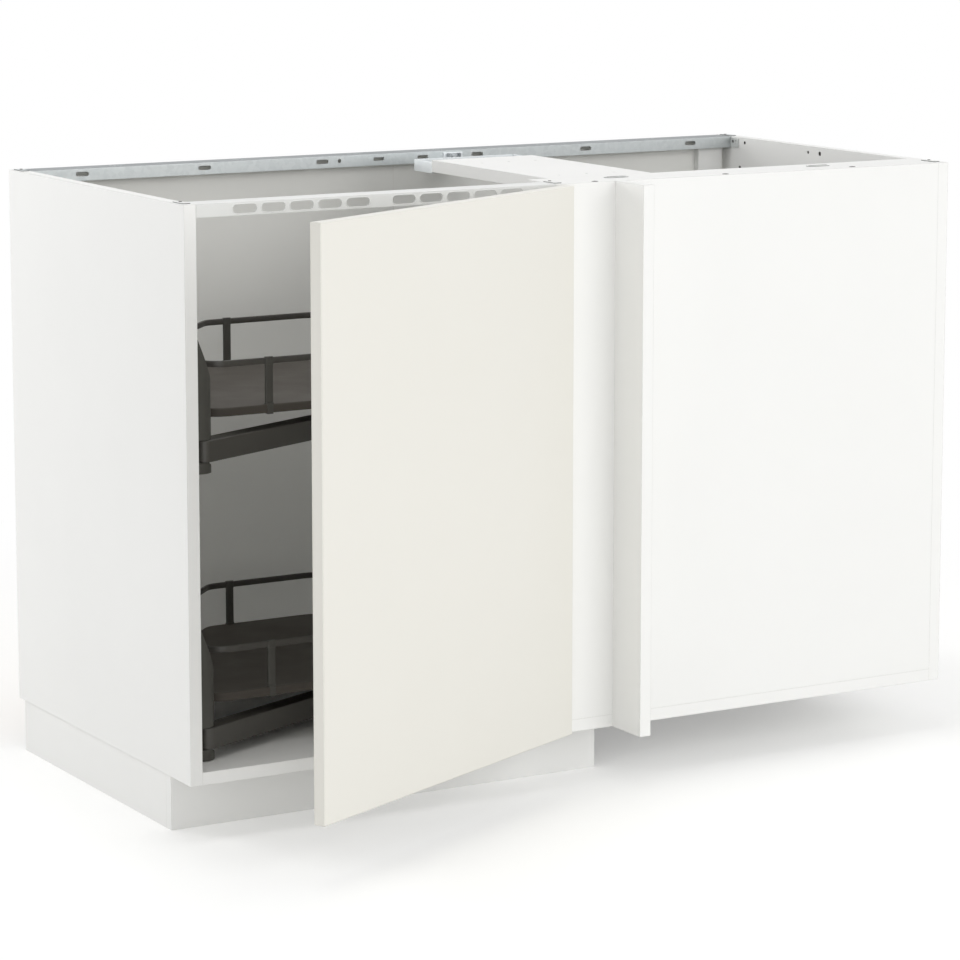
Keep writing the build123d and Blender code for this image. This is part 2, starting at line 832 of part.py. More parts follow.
# Soft stops on the door's back, at the free edge.
with BuildPart() as door_bumpers:
    for level in (base_height + 3 * bumper_inset, carcass_top - 3 * bumper_inset):
        with BuildSketch(door_back(level)):
            with Locations((door_width - hinge_overhang - door_edge - board / 2, 0)):
                Circle(bumper_radius)
        extrude(amount=door_gap - bumper_gap)
    chamfer(door_bumpers.edges().filter_by(GeomType.CIRCLE).sort_by(Axis.Y)[-2:], length=1)
save(door_bumpers, "door_bumpers")

# Outline of both trays, seen from above, with its waist round the doorway's post.
tray_corners = (
    (tray_left, tray_front),
    (tray_left, tray_back - tray_side_drop),
    (tray_left + tray_shoulder, tray_back - tray_shoulder_drop),
    (tray_right - tail_shoulder, tray_back),
    (tray_right - tail_start, tray_back - tail_drop),
    (tray_right, tray_back - tail_end_drop),
    (tray_right, tray_front + tail_front),
    (tray_right - tail_waist, tray_front + tail_waist_front),
    (tray_right - post_waist, tray_front + post_waist_front),
    (tray_right - lobe_end, tray_front),
)
tray_rounds = (34, 110, 30, 90, 90, 100, 84, 40, 40, 150)

with BuildSketch() as tray_outline:
    with BuildLine():
        FilletPolyline(*tray_corners, radius=tray_rounds, close=True)
    make_face()

with BuildSketch() as guard_line:
    add(tray_outline.sketch)
    offset(amount=-guard_inset - guard_thick / 2, mode=Mode.REPLACE)
guard_wire = guard_line.sketch.faces()[0].outer_wire()


def guard_place(index):
    # Middle of a guard post on the rail's centre line, turned along it.
    station = guard_post_first + index * guard_post_pitch
    point = guard_wire.position_at(station)
    along = guard_wire.tangent_at(station)
    return Location((point.X, point.Y), degrees(atan2(along.Y, along.X)))


# Both storeys have the same bracket, arm, tray and guard.
for storey, arm_level in zip(("lower", "upper"), arm_levels):
    arm_top = arm_level + arm_height
    deck_level = arm_top + deck_lift
    deck_top = deck_level + deck_thick
    bracket_base = arm_level - bracket_below
    bracket_top = bracket_base + bracket_height
    bracket_end = board + bracket_reach
    foot_top = bracket_base + bracket_foot
    screw_places = [
        (arm_pivot_y, bracket_top - bracket_screw_top - index * bracket_screw_pitch)
        for index in range(2)
    ]

    with BuildPart() as arm_bracket:
        with BuildSketch(Plane.XZ.offset(bracket_front - arm_pivot_y)):
            with BuildLine():
                Polyline(
                    (board, bracket_base),
                    (bracket_end - bracket_foot_edge, bracket_base),
                    (bracket_end, bracket_base + bracket_foot_edge),
                    (bracket_end, foot_top),
                    (bracket_end - bracket_step, foot_top),
                    (bracket_end - bracket_step, foot_top + bracket_step_height),
                    (bracket_end - 2 * bracket_step, foot_top + bracket_step_height),
                    (bracket_end - 2 * bracket_step, arm_level + arm_height / 2),
                    (bracket_end, arm_level + arm_height / 2),
                    (bracket_end, bracket_top - bracket_top_slope),
                    (board + bracket_top_reach, bracket_top),
                    (board, bracket_top),
                    close=True,
                )
            make_face()
        extrude(amount=-bracket_depth)
        with BuildSketch(Plane.XY.offset(bracket_base)) as bracket_plan:
            with Locations((board, arm_pivot_y - bracket_front)):
                Rectangle(bracket_reach, bracket_depth, align=(Align.MIN, Align.MIN))
            outer = bracket_plan.vertices().group_by(Axis.X)[-1].sort_by(Axis.Y)
            fillet(outer[:1], radius=bracket_round)
            outer = bracket_plan.vertices().group_by(Axis.X)[-1].sort_by(Axis.Y)
            fillet(outer[-1:], radius=bracket_back_round)
        extrude(amount=bracket_height, mode=Mode.INTERSECT)
        with BuildSketch(Plane.XZ.offset(bracket_front - arm_pivot_y)):
            with Locations((board + bracket_notch, arm_level - swing_gap)):
                Rectangle(bracket_reach, arm_height + 2 * swing_gap, align=(Align.MIN, Align.MIN))
        extrude(amount=-bracket_depth, mode=Mode.SUBTRACT)
        with BuildSketch(Plane.XY.offset(bracket_base + bracket_shell)):
            with Locations((arm_pivot_x, arm_pivot_y)):
                Circle(arm_pin_radius)
        extrude(amount=arm_top + arm_height / 2 - bracket_base - bracket_shell, mode=Mode.SUBTRACT)
        with BuildSketch(Plane.YZ.offset(board)):
            with Locations(*screw_places):
                Circle(screw_radius + fit_play)
        extrude(amount=bracket_reach, mode=Mode.SUBTRACT)
        with BuildSketch(Plane.YZ.offset(board + bracket_shell)):
            with Locations(*screw_places):
                Circle(screw_head_radius + swing_gap)
        extrude(amount=bracket_reach, mode=Mode.SUBTRACT)
        with BuildSketch(Plane.XZ.offset(bracket_front - arm_pivot_y)):
            with Locations((bracket_end, bracket_top - bracket_line_drop)):
                Rectangle(2 * bracket_line, bracket_line)
        extrude(amount=-bracket_depth, mode=Mode.SUBTRACT)
    save(arm_bracket, f"arm_bracket_{storey}")

    with BuildPart() as bracket_screws:
        with BuildSketch(Plane.YZ.offset(board + bracket_shell)):
            with Locations(*screw_places):
                Circle(screw_head_radius)
        extrude(amount=screw_head)
        with BuildSketch(Plane.YZ.offset(board + bracket_shell)):
            with Locations(*screw_places):
                Circle(screw_radius)
        extrude(amount=-screw_length)
    save(bracket_screws, f"bracket_screws_{storey}")

    with BuildPart() as arm_pin:
        with BuildSketch(Plane.XY.offset(bracket_base + bracket_shell)):
            with Locations((arm_pivot_x, arm_pivot_y)):
                Circle(arm_pin_radius)
        extrude(amount=arm_top + arm_height / 2 - bracket_base - bracket_shell)
    save(arm_pin, f"arm_pin_{storey}")

    # The arm is a pressed channel, closed on top, with a full eye round each pin.
    with BuildPart() as swing_arm:
        with BuildSketch(arm_plane(arm_level)):
            with Locations((arm_length / 2, 0)):
                SlotCenterToCenter(arm_length, arm_width)
        extrude(amount=arm_height)
        with BuildSketch(arm_plane(arm_level)):
            with Locations((arm_length / 2, 0)):
                Rectangle(arm_length - 2 * arm_width, arm_width - 2 * arm_wall)
        extrude(amount=arm_height - arm_wall, mode=Mode.SUBTRACT)
        with BuildSketch(arm_plane(arm_level)):
            Circle(arm_pin_radius + fit_play)
            with Locations((arm_length, 0)):
                Circle(tray_pin_radius)
        extrude(amount=arm_height, mode=Mode.SUBTRACT)
        fillet(swing_arm.edges().group_by(Axis.Z)[-1].filter_by(GeomType.LINE), radius=1.5)
    save(swing_arm, f"swing_arm_{storey}")

    with BuildPart() as tray_pin:
        with BuildSketch(Plane.XY.offset(arm_level)):
            with Locations((tray_pivot_x, tray_pivot_y)):
                Circle(tray_pin_head)
        extrude(amount=-tray_pin_foot)
        with BuildSketch(Plane.XY.offset(arm_level)):
            with Locations((tray_pivot_x, tray_pivot_y)):
                Circle(tray_pin_radius)
        extrude(amount=deck_level - swing_gap - arm_level)
    save(tray_pin, f"tray_pin_{storey}")

    with BuildPart() as tray_hub:
        with BuildSketch(Plane.XY.offset(arm_top + hub_gap)):
            with Locations((tray_pivot_x, tray_pivot_y)):
                Circle(hub_radius)
                Circle(tray_pin_radius + fit_play, mode=Mode.SUBTRACT)
        extrude(amount=deck_level - arm_top - hub_gap)
    save(tray_hub, f"tray_hub_{storey}")

    with BuildPart() as tray_deck:
        with BuildSketch(Plane.XY.offset(deck_level)):
            add(tray_outline.sketch)
        extrude(amount=deck_thick)
        fillet(tray_deck.edges().group_by(Axis.Z)[-1], radius=tray_edge)
    save(tray_deck, f"tray_deck_{storey}")

    with BuildPart() as tray_guard:
        with BuildSketch(Plane.XY.offset(deck_top + guard_top - guard_height)):
            add(tray_outline.sketch)
            offset(amount=-guard_inset, mode=Mode.REPLACE)
            offset(amount=-guard_thick, mode=Mode.SUBTRACT)
        extrude(amount=guard_height)
    save(tray_guard, f"tray_guard_{storey}")

    with BuildPart() as guard_posts:
        with BuildSketch(Plane.XY.offset(deck_top)):
            with Locations(*[guard_place(index) for index in range(guard_post_count)]):
                Rectangle(guard_post_width, guard_thick)
        extrude(amount=guard_top - guard_height)
    save(guard_posts, f"guard_posts_{storey}")
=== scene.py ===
from math import atan2, cos, pi, radians, sin

import bmesh
import bpy
from mathutils import Matrix, Vector


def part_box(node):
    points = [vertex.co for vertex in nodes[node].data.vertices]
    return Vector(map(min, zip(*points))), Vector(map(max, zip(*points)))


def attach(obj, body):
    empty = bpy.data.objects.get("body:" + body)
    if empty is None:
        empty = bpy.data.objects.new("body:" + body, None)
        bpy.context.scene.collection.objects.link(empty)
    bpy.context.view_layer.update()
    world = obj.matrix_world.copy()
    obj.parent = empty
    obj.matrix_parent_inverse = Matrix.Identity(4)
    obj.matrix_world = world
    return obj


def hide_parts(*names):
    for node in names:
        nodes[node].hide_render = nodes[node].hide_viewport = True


# Blind corner base cabinet: its finishes, the details that the solids leave plain, light and camera.
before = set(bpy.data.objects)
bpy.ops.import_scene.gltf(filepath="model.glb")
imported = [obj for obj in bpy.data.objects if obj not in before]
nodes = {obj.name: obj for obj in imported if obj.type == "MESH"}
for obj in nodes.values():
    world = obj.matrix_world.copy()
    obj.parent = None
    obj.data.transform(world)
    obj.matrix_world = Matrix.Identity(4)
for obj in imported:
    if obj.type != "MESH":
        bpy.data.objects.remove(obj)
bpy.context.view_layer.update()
print("frame loaded,", len(nodes), "nodes")

mm = 0.001

# Camera: where the photograph was taken from, looking a little down.
camera = {
    "place": (-2.0518, -4.332, 1.3687),
    "turn": 30.08,
    "tilt": 8.69,
    "lens": 134.68,
    "sensor": 36,
    "shift": -0.1,
    "sight": 60,
}
lensData = bpy.data.cameras.new("photoCamera")
lensData.lens = camera["lens"]
lensData.sensor_width = camera["sensor"]
lensData.shift_y = camera["shift"]
lensData.clip_end = camera["sight"]
photoCamera = bpy.data.objects.new("photoCamera", lensData)
photoCamera.location = camera["place"]
photoCamera.rotation_euler = (radians(90 - camera["tilt"]), 0, -radians(camera["turn"]))
bpy.context.scene.collection.objects.link(photoCamera)
bpy.context.scene.camera = photoCamera
bpy.context.scene.view_settings.view_transform = "Standard"
print("camera set")


def linear(code):
    parts = [int(code[i:i + 2], 16) / 255 for i in (1, 3, 5)]
    return tuple(c / 12.92 if c <= 0.04045 else ((c + 0.055) / 1.055) ** 2.4 for c in parts) + (1,)


def perMm(size):
    # Texture scale at which a feature is that many millimetres across.
    return 1000 / size


def addNode(tree, kind, settings=None, links=None):
    node = tree.nodes.new(kind)
    for key, value in (settings or {}).items():
        setattr(node, key, value)
    for key, value in (links or {}).items():
        for source in value if isinstance(value, list) else [value]:
            if isinstance(source, bpy.types.Node):
                source = source.outputs[0]
            if isinstance(source, bpy.types.NodeSocket):
                tree.links.new(source, node.inputs[key])
            else:
                node.inputs[key].default_value = source
    return node


# Where an edge counts as marked, worn on most finishes and painted shade on the ears: the dot product of
# the bevelled and the plain normal.
edgeWearAndShade = {"none": 0.985, "full": 0.88}


# Each finish: patches of two near colours, a fine grain in the bump, and its edges worn or sealed; on the
# ears the edge colour is painted shade.
def surface(name, look):
    material = bpy.data.materials.new(name)
    material.use_nodes = True
    tree = material.node_tree
    shader = tree.nodes["Principled BSDF"]
    shader.inputs["Metallic"].default_value = look.get("metallic", 0)
    if not look.get("metallic"):
        shader.inputs["IOR"].default_value = look.get("ior", 1.5)
    place = addNode(tree, "ShaderNodeTexCoord")
    stretched = addNode(tree, "ShaderNodeMapping", None, {
        "Vector": place.outputs["Object"], "Scale": look.get("stretch", (1, 1, 1))})
    patches = addNode(tree, "ShaderNodeTexNoise", None, {
        "Vector": stretched.outputs[0], "Scale": perMm(look["patchMm"]), "Detail": 3})
    patchColour = addNode(tree, "ShaderNodeMix", {"data_type": "RGBA"}, {
        0: patches.outputs["Fac"], 6: linear(look["base"]), 7: linear(look["second"])})
    grain = addNode(tree, "ShaderNodeTexNoise", None, {
        "Vector": stretched.outputs[0], "Scale": perMm(look["grainMm"]), "Detail": 2,
        "Roughness": 0.6})
    rounded = addNode(tree, "ShaderNodeBevel", {"samples": 4}, {"Radius": look["edgeMm"] * mm})
    shape = addNode(tree, "ShaderNodeNewGeometry")
    turned = addNode(tree, "ShaderNodeVectorMath", {"operation": "DOT_PRODUCT"}, {
        0: rounded.outputs[0], 1: shape.outputs["Normal"]})
    edge = addNode(tree, "ShaderNodeMapRange", None, {
        "Value": turned.outputs["Value"], "From Min": edgeWearAndShade["none"],
        "From Max": edgeWearAndShade["full"], "To Min": 0, "To Max": look.get("edgeShare", 0.6)})
    broken = addNode(tree, "ShaderNodeMath", {"operation": "MULTIPLY"}, {
        0: edge.outputs[0], 1: grain.outputs["Fac"]})
    edged = addNode(tree, "ShaderNodeMix", {"data_type": "RGBA"}, {
        0: broken.outputs[0], 6: patchColour.outputs[2], 7: linear(look["edge"])})
    dull, spread = look["rough"], look["roughSpread"]
    gloss = addNode(tree, "ShaderNodeMapRange", None, {
        "Value": patches.outputs["Fac"], "From Min": 0.3, "From Max": 0.7,
        "To Min": dull - spread, "To Max": dull + spread})
    relief = addNode(tree, "ShaderNodeBump", None, {
        "Strength": 1.0, "Distance": look["grainDepthMm"] * mm,
        "Height": grain.outputs["Fac"], "Normal": rounded.outputs[0]})
    tree.links.new(edged.outputs[2], shader.inputs["Base Color"])
    tree.links.new(gloss.outputs[0], shader.inputs["Roughness"])
    tree.links.new(relief.outputs[0], shader.inputs["Normal"])
    return {"material": material, "tree": tree, "shader": shader, "place": place, "colour": edged}


# Chipboard faced with white melamine paper: even, satin, with a faint pearl texture from the press
# plate and a thin greyer line where the edging tape is trimmed.
melamine = surface("melamineFacedChipboard", {
    "base": "#F6F6F4", "second": "#F2F2F0", "edge": "#B9B9B2", "patchMm": 240, "grainMm": 2.2,
    "grainDepthMm": 0.05, "rough": 0.42, "roughSpread": 0.04, "edgeMm": 0.9, "edgeShare": 0.9})

# Thin hardboard, lacquered white on the inside and left brown and fibrous on the wall side.
hardboard = surface("lacqueredHardboard", {
    "base": "#F5F5F1", "second": "#EFEFEB", "edge": "#A58F72", "patchMm": 160, "grainMm": 3.0,
    "grainDepthMm": 0.07, "rough": 0.5, "roughSpread": 0.05, "edgeMm": 0.7, "edgeShare": 0.9})
tree = hardboard["tree"]
fibres = addNode(tree, "ShaderNodeTexNoise", None, {
    "Vector": hardboard["place"].outputs["Object"], "Scale": perMm(4), "Detail": 6, "Roughness": 0.75})
bareSide = addNode(tree, "ShaderNodeMix", {"data_type": "RGBA"}, {
    0: fibres.outputs["Fac"], 6: linear("#8A6F50"), 7: linear("#B59A76")})
outward = addNode(tree, "ShaderNodeSeparateXYZ", None, {0: hardboard["place"].outputs["Normal"]})
isBack = addNode(tree, "ShaderNodeMath", {"operation": "GREATER_THAN"}, {0: outward.outputs["Y"], 1: 0.5})
twoSided = addNode(tree, "ShaderNodeMix", {"data_type": "RGBA"}, {
    0: isBack.outputs[0], 6: hardboard["colour"].outputs[2], 7: bareSide.outputs[2]})
tree.links.new(twoSided.outputs[2], hardboard["shader"].inputs["Base Color"])

# Smooth front wrapped in a satin cream foil: warm off-white, slight orange peel, softened edges.
foil = surface("foilWrappedFront", {
    "base": "#ECEAE3", "second": "#E9E7DF", "edge": "#CFCBC0", "patchMm": 300, "grainMm": 3.5,
    "grainDepthMm": 0.03, "rough": 0.34, "roughSpread": 0.03, "edgeMm": 1.6, "edgeShare": 0.7})

# Pressed steel powder coated white: a fine orange peel and a slightly cooler white than the boards.
whitePowder = surface("powderCoatedWhiteSteel", {
    "base": "#E9EAE8", "second": "#E3E4E2", "edge": "#C4C6C4", "patchMm": 60, "grainMm": 1.6,
    "grainDepthMm": 0.06, "rough": 0.36, "roughSpread": 0.04, "edgeMm": 0.5, "edgeShare": 0.6})

# Galvanised strip, rolled smooth: faint zinc crystals about 6 mm across and streaks along the strip.
# Its upward faces are painted dark grey: a painted dark reflection, as the flange top shows when seen from
# low.
galvanised = surface("rolledGalvanisedStrip", {
    "base": "#C8CCCD", "second": "#BCC1C2", "edge": "#DDE0E1", "metallic": 1, "stretch": (0.15, 1, 1),
    "patchMm": 24, "grainMm": 1.2, "grainDepthMm": 0.012, "rough": 0.38, "roughSpread": 0.05,
    "edgeMm": 0.5, "edgeShare": 0.9})
tree = galvanised["tree"]
crystals = addNode(tree, "ShaderNodeTexVoronoi", {"feature": "F1"}, {
    "Vector": galvanised["place"].outputs["Object"], "Scale": perMm(6)})
shade = addNode(tree, "ShaderNodeSeparateColor", None, {0: crystals.outputs["Color"]})
spangle = addNode(tree, "ShaderNodeMapRange", None, {
    "Value": shade.outputs[0], "To Min": 0, "To Max": 0.16})
crystalTone = addNode(tree, "ShaderNodeMix", {"data_type": "RGBA", "blend_type": "MULTIPLY"}, {
    0: spangle, 6: galvanised["colour"].outputs[2], 7: linear("#AEB6BA")})
# Faces that point up get the painted dark reflection.
outward = addNode(tree, "ShaderNodeSeparateXYZ", None, {0: galvanised["place"].outputs["Normal"]})
isTop = addNode(tree, "ShaderNodeMath", {"operation": "GREATER_THAN"}, {0: outward.outputs["Z"], 1: 0.7})
paintedDarkTop = addNode(tree, "ShaderNodeMix", {"data_type": "RGBA"}, {
    0: isTop, 6: crystalTone.outputs[2], 7: linear("#7A8083")})
tree.links.new(paintedDarkTop.outputs[2], galvanised["shader"].inputs["Base Color"])

# Bright zinc of the smaller pressed parts, electroplated after pressing: clearer and almost white.
brightZinc = surface("electroplatedBrightZinc", {
    "base": "#E6E9EB", "second": "#DDE1E3", "edge": "#F2F4F5", "metallic": 1, "stretch": (0.3, 1, 1),
    "patchMm": 18, "grainMm": 0.9, "grainDepthMm": 0.012, "rough": 0.42, "roughSpread": 0.05,
    "edgeMm": 0.5, "edgeShare": 0.9})

# End plates stamped from phosphated strip: pale and dull, with dark sheared edges.
stamped = surface("phosphatedStampedSteel", {
    "base": "#DADCDA", "second": "#D0D3D1", "edge": "#6B6F6E", "metallic": 0.3, "patchMm": 12,
    "grainMm": 0.9, "grainDepthMm": 0.02, "rough": 0.5, "roughSpread": 0.06, "edgeMm": 0.8,
    "edgeShare": 1.0})

# Ears of the rails, sheared from the strip: pale on top, with a dark line painted round them on their
# edges and walls, a painted shade of the gap round each ear.
zincEar = surface("zincEarPaintedShadeOutline", {
    "base": "#C9CDCE", "second": "#BFC3C4", "edge": "#6B6F6E", "metallic": 0.4, "patchMm": 20,
    "grainMm": 1.0, "grainDepthMm": 0.02, "rough": 0.45, "roughSpread": 0.05, "edgeMm": 0.9,
    "edgeShare": 1.0})
whiteEar = surface("powderCoatedEarPaintedShadeOutline", {
    "base": "#F0F1EF", "second": "#EAEBE9", "edge": "#7B7E7B", "patchMm": 20, "grainMm": 1.2,
    "grainDepthMm": 0.04, "rough": 0.4, "roughSpread": 0.04, "edgeMm": 0.9, "edgeShare": 1.0})
for look in (zincEar, whiteEar):
    tree = look["tree"]
    # The walls are painted near-black: painted shade along the ear's rim.
    outward = addNode(tree, "ShaderNodeSeparateXYZ", None, {0: look["place"].outputs["Normal"]})
    isWall = addNode(tree, "ShaderNodeMapRange", None, {
        "Value": outward.outputs["Z"], "From Min": 0.5, "From Max": 0.3, "To Min": 0, "To Max": 1})
    paintedShadeOutline = addNode(tree, "ShaderNodeMix", {"data_type": "RGBA"}, {
        0: isWall, 6: look["colour"].outputs[2], 7: linear("#4A4E4D")})
    tree.links.new(paintedShadeOutline.outputs[2], look["shader"].inputs["Base Color"])

# Painted shade for holes: a near-black brown, far darker than bare chipboard, that stands for the shade
# inside a hole.
paintedHoleShade = surface("paintedHoleShadow", {
    "base": "#2E2823", "second": "#211C19", "edge": "#3A332D", "patchMm": 2, "grainMm": 0.8,
    "grainDepthMm": 0.2, "rough": 0.85, "roughSpread": 0.08, "edgeMm": 0.3})

# Injection moulded black polypropylene: spark-eroded grain, dull, greyer where it is rubbed.
blackPlastic = surface("mouldedBlackPolypropylene", {
    "base": "#242423", "second": "#2B2B2A", "edge": "#4A4A48", "patchMm": 25, "grainMm": 0.9,
    "grainDepthMm": 0.08, "rough": 0.5, "roughSpread": 0.05, "edgeMm": 0.7, "edgeShare": 0.7})

# Turned beech dowel: pale pink-brown with fine dark flecks along the grain.
beech = surface("turnedBeech", {
    "base": "#D2A679", "second": "#BF8F60", "edge": "#9A6E44", "stretch": (0.15, 1, 1), "patchMm": 2.5,
    "grainMm": 0.8, "grainDepthMm": 0.08, "rough": 0.55, "roughSpread": 0.06, "edgeMm": 0.5})

# Stamped hinge steel, nickel plated: bright and warm-grey, with fine draw lines.
nickel = surface("nickelPlatedSteel", {
    "base": "#CFCCC5", "second": "#BEBBB4", "edge": "#E6E4DE", "metallic": 1, "stretch": (1, 1, 5),
    "patchMm": 14, "grainMm": 0.7, "grainDepthMm": 0.01, "rough": 0.24, "roughSpread": 0.06,
    "edgeMm": 0.4, "edgeShare": 0.8})

# Turned and zinc plated pins and screws: cool grey with tool marks round the axis.
turnedSteel = surface("turnedZincSteel", {
    "base": "#B9BCBE", "second": "#A8ACAF", "edge": "#DADCDD", "metallic": 1, "stretch": (1, 1, 6),
    "patchMm": 9, "grainMm": 0.6, "grainDepthMm": 0.02, "rough": 0.32, "roughSpread": 0.07,
    "edgeMm": 0.3, "edgeShare": 0.8})

# Cast clear polyurethane bumper: milky, soft highlight, a little light passes through.
bumperGel = surface("castClearPolyurethane", {
    "base": "#E4E5DF", "second": "#DADBD4", "edge": "#F2F2EE", "patchMm": 5, "grainMm": 1.0,
    "grainDepthMm": 0.02, "rough": 0.25, "roughSpread": 0.05, "edgeMm": 0.6})
bumperGel["shader"].inputs["Transmission Weight"].default_value = 0.55

# Tray deck of board laminated in dark grey-brown: matt, a dry fine stipple and faint clouding.
darkDeck = surface("laminatedDarkDeck", {
    "base": "#514C46", "second": "#4C4842", "edge": "#625D56", "patchMm": 70, "grainMm": 1.4,
    "grainDepthMm": 0.12, "rough": 0.6, "roughSpread": 0.05, "edgeMm": 1.2, "edgeShare": 0.6,
    "ior": 1.32})

# Steel powder coated graphite: fine orange peel with a low satin sheen.
darkPowder = surface("powderCoatedGraphiteSteel", {
    "base": "#4A4843", "second": "#44423E", "edge": "#66635D", "patchMm": 40, "grainMm": 1.5,
    "grainDepthMm": 0.09, "rough": 0.4, "roughSpread": 0.05, "edgeMm": 0.6, "edgeShare": 0.5})

# Moulded graphite nylon: spark-eroded grain, dull, its ribs and corners a shade lighter.
darkNylon = surface("mouldedGraphiteNylon", {
    "base": "#4B4A45", "second": "#45443F", "edge": "#6A6861", "patchMm": 30, "grainMm": 1.0,
    "grainDepthMm": 0.1, "rough": 0.48, "roughSpread": 0.05, "edgeMm": 0.8, "edgeShare": 0.6})
print("finishes mixed")

finishOf = {
    "side_left": melamine, "side_right": melamine, "bottom_board": melamine, "blind_panel": melamine,
    "hinge_post": melamine, "top_strip": melamine, "brace_board": melamine, "filler_board": melamine,
    "plinth_front": melamine, "plinth_side": melamine, "back_batten": melamine,
    "back_sheet_left": hardboard, "back_sheet_right": hardboard,
    "back_joint_strip": blackPlastic, "base_dowels": beech, "door_panel": foil,
    "front_rail": whitePowder, "back_rail_left": galvanised, "back_rail_right": galvanised,
    "rail_splice": brightZinc, "rail_plate_left": stamped, "rail_plate_right": stamped,
    "brace_channel": brightZinc, "rail_clamp": turnedSteel, "legs": blackPlastic,
    "plinth_clips": blackPlastic, "hinge_cups": nickel, "hinge_arms": nickel, "hinge_plates": nickel,
    "hinge_pins": turnedSteel, "cup_screws": turnedSteel, "plate_screws": turnedSteel,
    "door_bumpers": bumperGel,
}
for storey in ("lower", "upper"):
    finishOf.update({
        f"arm_bracket_{storey}": darkNylon, f"bracket_screws_{storey}": turnedSteel,
        f"arm_pin_{storey}": turnedSteel, f"swing_arm_{storey}": darkPowder,
        f"tray_pin_{storey}": turnedSteel, f"tray_hub_{storey}": darkNylon,
        f"tray_deck_{storey}": darkDeck, f"tray_guard_{storey}": darkPowder,
        f"guard_posts_{storey}": darkNylon})
for name, node in nodes.items():
    node.data.materials.clear()
    node.data.materials.append(finishOf[name]["material"])
print("nodes finished")


# Parts that the photograph shows in more detail than the solids have. They repeat or follow a
# path, so Geometry Nodes make them, and each ends as one plain mesh that rides on one body.
def startTree(name, sizes):
    tree = bpy.data.node_groups.new(name, "GeometryNodeTree")
    tree.interface.new_socket("Geometry", in_out="INPUT", socket_type="NodeSocketGeometry")
    for label, size in sizes.items():
        socket = tree.interface.new_socket(label, in_out="INPUT", socket_type="NodeSocketFloat")
        socket.default_value = size
    tree.interface.new_socket("Geometry", in_out="OUTPUT", socket_type="NodeSocketGeometry")
    return tree, addNode(tree, "NodeGroupInput").outputs


def slab(tree, width, depth, height, corner):
    # Closed block standing on Z = 0, with rounded upright corners.
    outline = addNode(tree, "GeometryNodeCurvePrimitiveQuadrilateral", None, {0: width, 1: depth})
    rounded = addNode(tree, "GeometryNodeFilletCurve", {"mode": "POLY"}, {
        "Curve": outline, "Radius": corner, "Count": 4})
    face = addNode(tree, "GeometryNodeFillCurve", {"mode": "NGONS"}, {0: rounded})
    rise = addNode(tree, "ShaderNodeCombineXYZ", None, {2: height})
    walls = addNode(tree, "GeometryNodeExtrudeMesh", None, {"Mesh": face, "Offset": rise})
    under = addNode(tree, "GeometryNodeFlipFaces", None, {0: face})
    both = addNode(tree, "GeometryNodeJoinGeometry", None, {0: [walls, under]})
    return addNode(tree, "GeometryNodeMergeByDistance", None, {"Geometry": both, "Distance": 0.00001})


def slotRing(tree, length, width, thickness):
    # A round wire laid round a slot with half-round ends, flat on Z = 0.
    loop = addNode(tree, "GeometryNodeCurvePrimitiveQuadrilateral", None, {0: length, 1: width})
    almostHalf = addNode(tree, "ShaderNodeMath", {"operation": "MULTIPLY"}, {0: width, 1: 0.499})
    ends = addNode(tree, "GeometryNodeFilletCurve", {"mode": "POLY"}, {
        "Curve": loop, "Radius": almostHalf, "Count": 10})
    wire = addNode(tree, "GeometryNodeCurvePrimitiveCircle", None, {"Resolution": 10, "Radius": thickness})
    return addNode(tree, "GeometryNodeCurveToMesh", None, {0: ends, "Profile Curve": wire})


def onPoints(tree, points, instance):
    # Sets the instance on each seed, its Z along "facing" and its X along "along".
    vector = {"data_type": "FLOAT_VECTOR"}
    facing = addNode(tree, "GeometryNodeInputNamedAttribute", vector, {"Name": "facing"})
    along = addNode(tree, "GeometryNodeInputNamedAttribute", vector, {"Name": "along"})
    turn = addNode(tree, "FunctionNodeAxesToRotation", {"primary_axis": "Z", "secondary_axis": "X"}, {
        0: facing.outputs[0], 1: along.outputs[0]})
    placed = addNode(tree, "GeometryNodeInstanceOnPoints", None, {
        "Points": points, "Instance": instance, "Rotation": turn.outputs[0]})
    return placed.outputs[0]


# Angles in radians above which an edge stays hard: on blocks, on soft bars and on round wire.
blockCrease, barCrease, roundCrease = 0.6, 1.0, 1.2


def endTree(tree, shape, finish, crease=blockCrease):
    # Makes instances real, keeps edges sharper than the crease hard, and sets the finish.
    whole = addNode(tree, "GeometryNodeRealizeInstances", None, {0: shape})
    smooth = addNode(tree, "GeometryNodeSetShadeSmooth", {"domain": "FACE"}, {0: whole.outputs[0]})
    angle = addNode(tree, "GeometryNodeInputMeshEdgeAngle")
    sharp = addNode(tree, "FunctionNodeCompare", {"operation": "GREATER_THAN"}, {
        0: angle.outputs[0], 1: crease})
    hard = addNode(tree, "GeometryNodeSetShadeSmooth", {"domain": "EDGE"}, {
        0: smooth.outputs[0], "Selection": sharp.outputs[0], "Shade Smooth": False})
    painted = addNode(tree, "GeometryNodeSetMaterial", None, {
        0: hard.outputs[0], "Material": finish["material"]})
    addNode(tree, "NodeGroupOutput", None, {0: painted.outputs[0]})


def seedMesh(name, spots):
    # One vertex for each spot, which says where it is, which way it faces and what it lies along.
    mesh = bpy.data.meshes.new(name)
    mesh.from_pydata([spot["at"] for spot in spots], [], [])
    for key in ("facing", "along"):
        data = mesh.attributes.new(key, "FLOAT_VECTOR", "POINT").data
        for item, spot in zip(data, spots):
            item.vector = spot[key]
    return mesh


